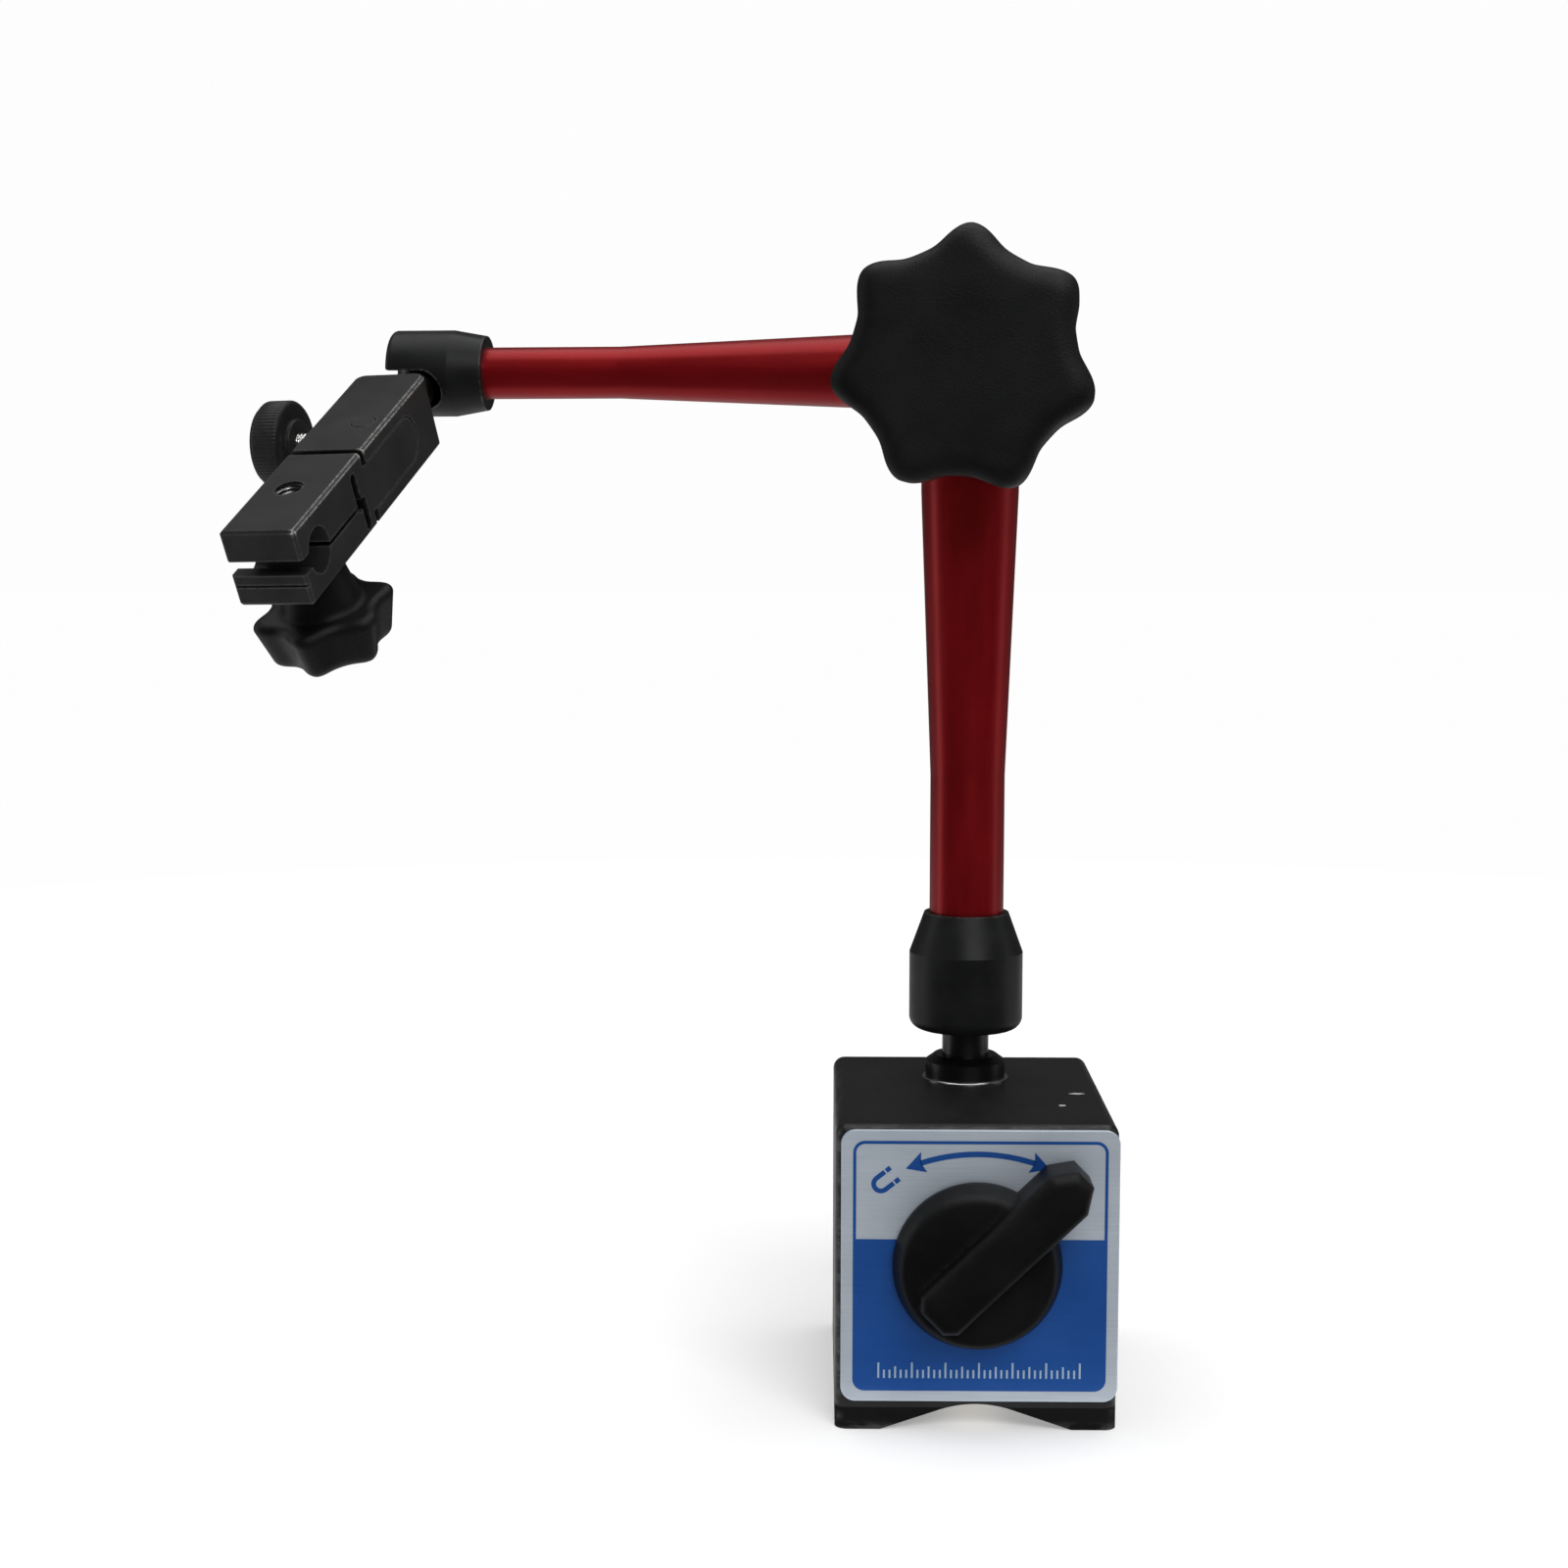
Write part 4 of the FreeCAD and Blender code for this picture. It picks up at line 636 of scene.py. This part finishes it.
def plate_border():
    """The blue line round the plate, and the blue panel that fills its lower part."""
    left, right = PLATE_LOW.x + OUTLINE_SIDE, PLATE_HIGH.x - OUTLINE_SIDE
    low, high = PLATE_LOW.z + OUTLINE_TOP, PLATE_HIGH.z - OUTLINE_TOP
    line, corner = OUTLINE_LINE, OUTLINE_CORNER - OUTLINE_LINE
    inside = left + line, right - line, low + line
    border = Print("plate_outline", BLUE_PRINT)
    border.band(rounded_rectangle(left, right, low, high, [OUTLINE_CORNER] * 4),
                rounded_rectangle(*inside, high - line, [corner] * 4), closed=True)
    border.finish()
    panel = Print("plate_panel", BLUE_PRINT)
    panel.shape(rounded_rectangle(*inside, PANEL_TOP, [corner, PANEL_TOP_CORNER, PANEL_TOP_CORNER, corner]))
    panel.finish()


def plate_arrow(steps=40):
    """The curved arrow with two heads that shows the switch's turn."""
    arrow = Print("plate_arrow", BLUE_PRINT)
    shaft = ARROW_TURN - ARROW_HEAD * ARROW_SHAFT
    angles = [-shaft + 2 * shaft * k / steps for k in range(steps + 1)]
    edges = ([on_arc(ARROW_RADIUS + side * ARROW_HALF_LINE, angle) for angle in angles] for side in (1, -1))
    arrow.band(*edges)
    for sign in (-1, 1):
        tip = on_arc(ARROW_RADIUS, sign * ARROW_TURN)
        notch = on_arc(ARROW_RADIUS, sign * (ARROW_TURN - ARROW_HEAD * ARROW_NOTCH))
        out, back = (on_arc(ARROW_RADIUS + side * ARROW_BARB, sign * (ARROW_TURN - ARROW_HEAD))
                     for side in (1, -1))
        arrow.shape([tip, out, notch, back] if sign < 0 else [tip, back, notch, out])
    arrow.finish()


def plate_symbol(steps=16):
    """A horseshoe magnet with its pole tips set apart marks the end of the switch's turn that holds."""
    symbol = Print("plate_magnet_symbol", BLUE_PRINT)
    tilt = math.radians(SYMBOL_TILT)

    def placed(points):
        return [(SYMBOL_AT[0] + u * math.cos(tilt) - v * math.sin(tilt),
                 SYMBOL_AT[1] + u * math.sin(tilt) + v * math.cos(tilt)) for u, v in points]

    def horseshoe(radius):
        angles = [math.pi * k / steps for k in range(steps + 1)]
        bend = [(SYMBOL_BEND - radius * math.sin(angle), radius * math.cos(angle)) for angle in angles]
        return placed([(SYMBOL_ARM, radius)] + bend + [(SYMBOL_ARM, -radius)])

    symbol.band(horseshoe(SYMBOL_OUTER), horseshoe(SYMBOL_INNER))
    for sign in (-1, 1):
        inner, outer = sign * SYMBOL_INNER, sign * SYMBOL_OUTER
        symbol.shape(placed([(POLE_FROM, inner), (POLE_TO, inner), (POLE_TO, outer), (POLE_FROM, outer)]))
    symbol.finish()


def plate_rule():
    """A rule of plain strokes along the foot of the panel, every sixth long and every third middling."""
    strokes = Print("plate_rule", PALE_PRINT, layer=2)
    for k in range(STROKES):
        x = STROKES_FROM + (STROKES_TO - STROKES_FROM) * k / (STROKES - 1)
        height = STROKE_LONG if k % 6 == 0 else STROKE_MIDDLE if k % 3 == 0 else STROKE_SHORT
        left, right, top = x - STROKE_HALF_WIDTH, x + STROKE_HALF_WIDTH, STROKE_FOOT + height
        strokes.shape([(left, STROKE_FOOT), (right, STROKE_FOOT), (right, top), (left, top)])
    strokes.finish()


def lathe(name, rings, axis_matrix, material, body, segments, sharp):
    """Rings of (radius, distance) about Z of a frame.  A radius may be a function of the angle."""
    placed = axis_matrix.copy()
    placed.translation = axis_matrix.translation / MM
    vertices, faces, rows = [], [], []
    for radius, distance in rings:
        if radius == 0:
            rows.append([len(vertices)])
            vertices.append(placed @ Vector((0, 0, distance)))
            continue
        row = []
        for k in range(segments):
            angle = TURN * k / segments
            r = radius(angle) if callable(radius) else radius
            row.append(len(vertices))
            vertices.append(placed @ Vector((r * math.cos(angle), r * math.sin(angle), distance)))
        rows.append(row)
    for first, second in zip(rows, rows[1:]):
        for k in range(segments):
            j = (k + 1) % segments
            if len(first) == 1:
                faces.append((first[0], second[k], second[j]))
            elif len(second) == 1:
                faces.append((first[k], second[0], first[j]))
            else:
                faces.append((first[k], second[k], second[j], first[j]))
    return add_piece(name, vertices, faces, material, body, sharp)


def along_axis(node, joint):
    """Nearest and furthest distance of a node from a joint's point, along the joint's axis."""
    axis, point = joint_axis(joint), joint_point(joint)
    places = [(vertex.co - point).dot(axis) / MM for vertex in NODES[node].data.vertices]
    return min(places), max(places)


def thread_rings(start, end, crest, root, pitch):
    """Rings of a helical thread: each ring's radius follows the angle, so the ridge climbs as it turns."""
    count = round(abs(end - start) / pitch * RINGS_PER_THREAD)
    made = []
    for k in range(count + 1):
        distance = start + (end - start) * k / count

        def radius(angle, distance=distance):
            phase = (distance / pitch - angle / TURN) % 1.0
            ridge = min(1.0, max(0.0, THREAD_FLANK * (0.5 - abs(phase - 0.5))))
            return root + (crest - root) * ridge

        made.append((radius, distance))
    return made


def fine_screw():
    """A threaded screw in place of its plain CAD solid, with a socket in its inner end."""
    near, far = along_axis("fine_screw", "fine_screw_turn")
    bottom = near + SCREW_BORE_DEPTH
    rings = [(0, bottom), (SCREW_BORE, bottom), (SCREW_BORE, near), (SCREW_END, near)]
    start, end = near + SCREW_CHAMFERS[0], far - SCREW_CHAMFERS[1]
    rings += thread_rings(start, end, SCREW_CREST, SCREW_ROOT, SCREW_PITCH)
    rings += [(SCREW_END, far), (0, far)]
    screw = lathe("fine_screw_thread", rings, FINE_AXIS, BRIGHT_FINE, "fine_drive", segments=40, sharp=40)
    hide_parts("fine_screw")


def fine_knob():
    """A straight-knurled knob in place of its plain CAD solid, dished on its outer face."""
    near, far = along_axis("fine_knob", "fine_screw_turn")
    thick = far - near

    def knurl(angle):
        wave = abs((angle * KNURL_TEETH / TURN) % 1.0 - 0.5) * 2
        return KNURL_RADIUS - KNURL_DEPTH * (1 - wave)

    def run_out(angle):
        return knurl(angle) - KNURL_RUN_OUT

    inner_face = [(2.02, 5.0), (2.02, 0.0), (4.4, 0.0), (4.6, 0.2), (4.6, 0.8), (7.2, 0.8), (7.55, 0.95)]
    rim = [(run_out, 1.3), (knurl, 1.45), (knurl, thick - 1.2), (run_out, thick - 1.0)]
    outer_face = [(7.55, thick - 0.6), (7.3, thick - 0.45), (7.1, thick - 0.1), (6.9, thick), (5.0, thick),
                  (4.7, thick - 0.3), (2.0, thick - 0.4), (0, thick - 0.4)]
    profile = [(radius, near + distance) for radius, distance in inner_face + rim + outer_face]
    segments = KNURL_TEETH * 4
    knob = lathe("fine_knob_knurled", profile, FINE_AXIS, OXIDE, "fine_drive", segments, sharp=50)
    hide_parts("fine_knob")


def clamp_hole_thread():
    """The tapped hole in the clamp block above the end of its screw, whose axis points down."""
    screw_end = along_axis("clamp_screw", "clamp_screw_turn")[0]
    block_top = along_axis("rear_block", "clamp_screw_turn")[0]
    start, end = screw_end - TAP_START, block_top + TAP_END
    rings = [(TAP_OUTSIDE, start)] + thread_rings(start, end, TAP_CREST, TAP_ROOT, TAP_PITCH)
    rings += [(TAP_OUTSIDE, end), (TAP_OUTSIDE, start)]
    lathe("clamp_hole_thread", rings, CLAMP_AXIS, DARK_HOLE_STEEL, "clamp", segments=48, sharp=40)


plate_border()
plate_arrow()
plate_symbol()
plate_rule()
fine_screw()
fine_knob()
clamp_hole_thread()


# ---------------------------------------------------------------- floor, light and camera
FLOOR_REACH, FLOOR_RINGS, FLOOR_SEGMENTS = 6.0, 12, 96
FLOOR_TONES = grey(0.88), grey(0.92)
FLOOR_FADE = 0.22, 0.75
GLOW_FADE = 0.20, 0.66
GLOW_NEAR, GLOW_FAR = 0.32, 0.985
WORLD_SEEN, WORLD_LIGHT = 0.985, 0.07
LIT_POINT = (0.0, -0.02, 0.12)
CAMERA_PLACE_MM = (-28.5, -476.8, 159.2)
CAMERA_YAW, CAMERA_PITCH, CAMERA_ROLL = -0.74, 5.76, 0.08
CAMERA_LENS, CAMERA_SENSOR = 58.2, 36
CAMERA_CLIP = 0.01, 50


def studio_floor():
    """A plain pale sheet that carries the soft shadow and runs out evenly into the pale background."""
    g = Graph("pale_floor")
    distance = g.length(g.coords)
    near_tone = g.mix(g.noise(3.0, detail=3, roughness=0.5), *FLOOR_TONES)
    g.surface(Base_Color=g.mix(g.spread(distance, *FLOOR_FADE), near_tone, grey(0.0)),
              Emission_Color=g.mix(g.spread(distance, *GLOW_FADE), grey(GLOW_NEAR), grey(GLOW_FAR)),
              Roughness=0.9, Specular_IOR_Level=0.1, Emission_Strength=1.0)
    mesh = bpy.data.meshes.new("floor")
    directions = [(math.cos(TURN * k / FLOOR_SEGMENTS), math.sin(TURN * k / FLOOR_SEGMENTS))
                  for k in range(FLOOR_SEGMENTS)]
    vertices = [(0, 0, 0)]
    for ring in range(1, FLOOR_RINGS + 1):
        radius = FLOOR_REACH * (ring / FLOOR_RINGS) ** 2
        vertices += [(radius * x, radius * y, 0) for x, y in directions]
    faces = []
    for k in range(FLOOR_SEGMENTS):
        j = (k + 1) % FLOOR_SEGMENTS
        faces.append((0, 1 + k, 1 + j))
        for low in range(1, 1 + (FLOOR_RINGS - 1) * FLOOR_SEGMENTS, FLOOR_SEGMENTS):
            high = low + FLOOR_SEGMENTS
            faces.append((low + k, high + k, high + j, low + j))
    mesh.from_pydata(vertices, [], faces)
    mesh.materials.append(g.material)
    floor = put("floor", mesh)
    floor.visible_glossy = False


def softbox(name, place, target, size, watts):
    data = bpy.data.lights.new(name, "AREA")
    data.shape = "RECTANGLE"
    data.size, data.size_y = size
    data.energy = watts
    lamp = put(name, data)
    lamp.location = place
    lamp.rotation_euler = (Vector(target) - Vector(place)).to_track_quat("-Z", "Y").to_euler()
    lamp.visible_camera = False


def studio_light():
    softbox("overhead", (0.0, 0.05, 1.15), LIT_POINT, size=(1.3, 1.1), watts=9.0)
    softbox("left_strip", (-1.1, 0.15, 0.35), LIT_POINT, size=(0.35, 1.2), watts=1.8)
    softbox("right_strip", (1.1, 0.10, 0.35), LIT_POINT, size=(0.35, 1.2), watts=1.1)
    softbox("front_fill", (0.35, -1.15, 1.05), LIT_POINT, size=(0.9, 0.7), watts=10.5)
    softbox("floor_bounce", (-0.08, 0.20, 0.004), (-0.08, 0.20, 1.0), size=(0.8, 0.5), watts=0.8)


def studio_world():
    """A pale background for the camera, and a much dimmer one to light the object."""
    world = bpy.data.worlds.new("pale_studio")
    bpy.context.scene.world = world
    world.use_nodes = True
    tree = world.node_tree
    light = tree.nodes["Background"]
    light.inputs["Color"].default_value = (*grey(WORLD_LIGHT), 1)
    seen = tree.nodes.new("ShaderNodeBackground")
    seen.inputs["Color"].default_value = (*grey(WORLD_SEEN), 1)
    path = tree.nodes.new("ShaderNodeLightPath")
    mix = tree.nodes.new("ShaderNodeMixShader")
    tree.links.new(path.outputs["Is Camera Ray"], mix.inputs["Fac"])
    tree.links.new(light.outputs["Background"], mix.inputs[1])
    tree.links.new(seen.outputs["Background"], mix.inputs[2])
    tree.links.new(mix.outputs["Shader"], tree.nodes["World Output"].inputs["Surface"])


def studio_camera():
    yaw, pitch, roll = (math.radians(angle) for angle in (CAMERA_YAW, CAMERA_PITCH, CAMERA_ROLL))
    forward = Vector((math.sin(yaw) * math.cos(pitch), math.cos(yaw) * math.cos(pitch), -math.sin(pitch)))
    level = Vector((math.cos(yaw), -math.sin(yaw), 0))
    upright = level.cross(forward)
    right = level * math.cos(roll) + upright * math.sin(roll)
    up = upright * math.cos(roll) - level * math.sin(roll)
    data = bpy.data.cameras.new("camera")
    data.sensor_width = CAMERA_SENSOR
    data.lens = CAMERA_LENS
    data.clip_start, data.clip_end = CAMERA_CLIP
    camera = put("camera", data)
    camera.matrix_world = frame_of(right, up, -forward, Vector(CAMERA_PLACE_MM) * MM)
    bpy.context.scene.camera = camera


studio_floor()
studio_light()
studio_world()
studio_camera()
bpy.context.scene.view_settings.view_transform = "Standard"
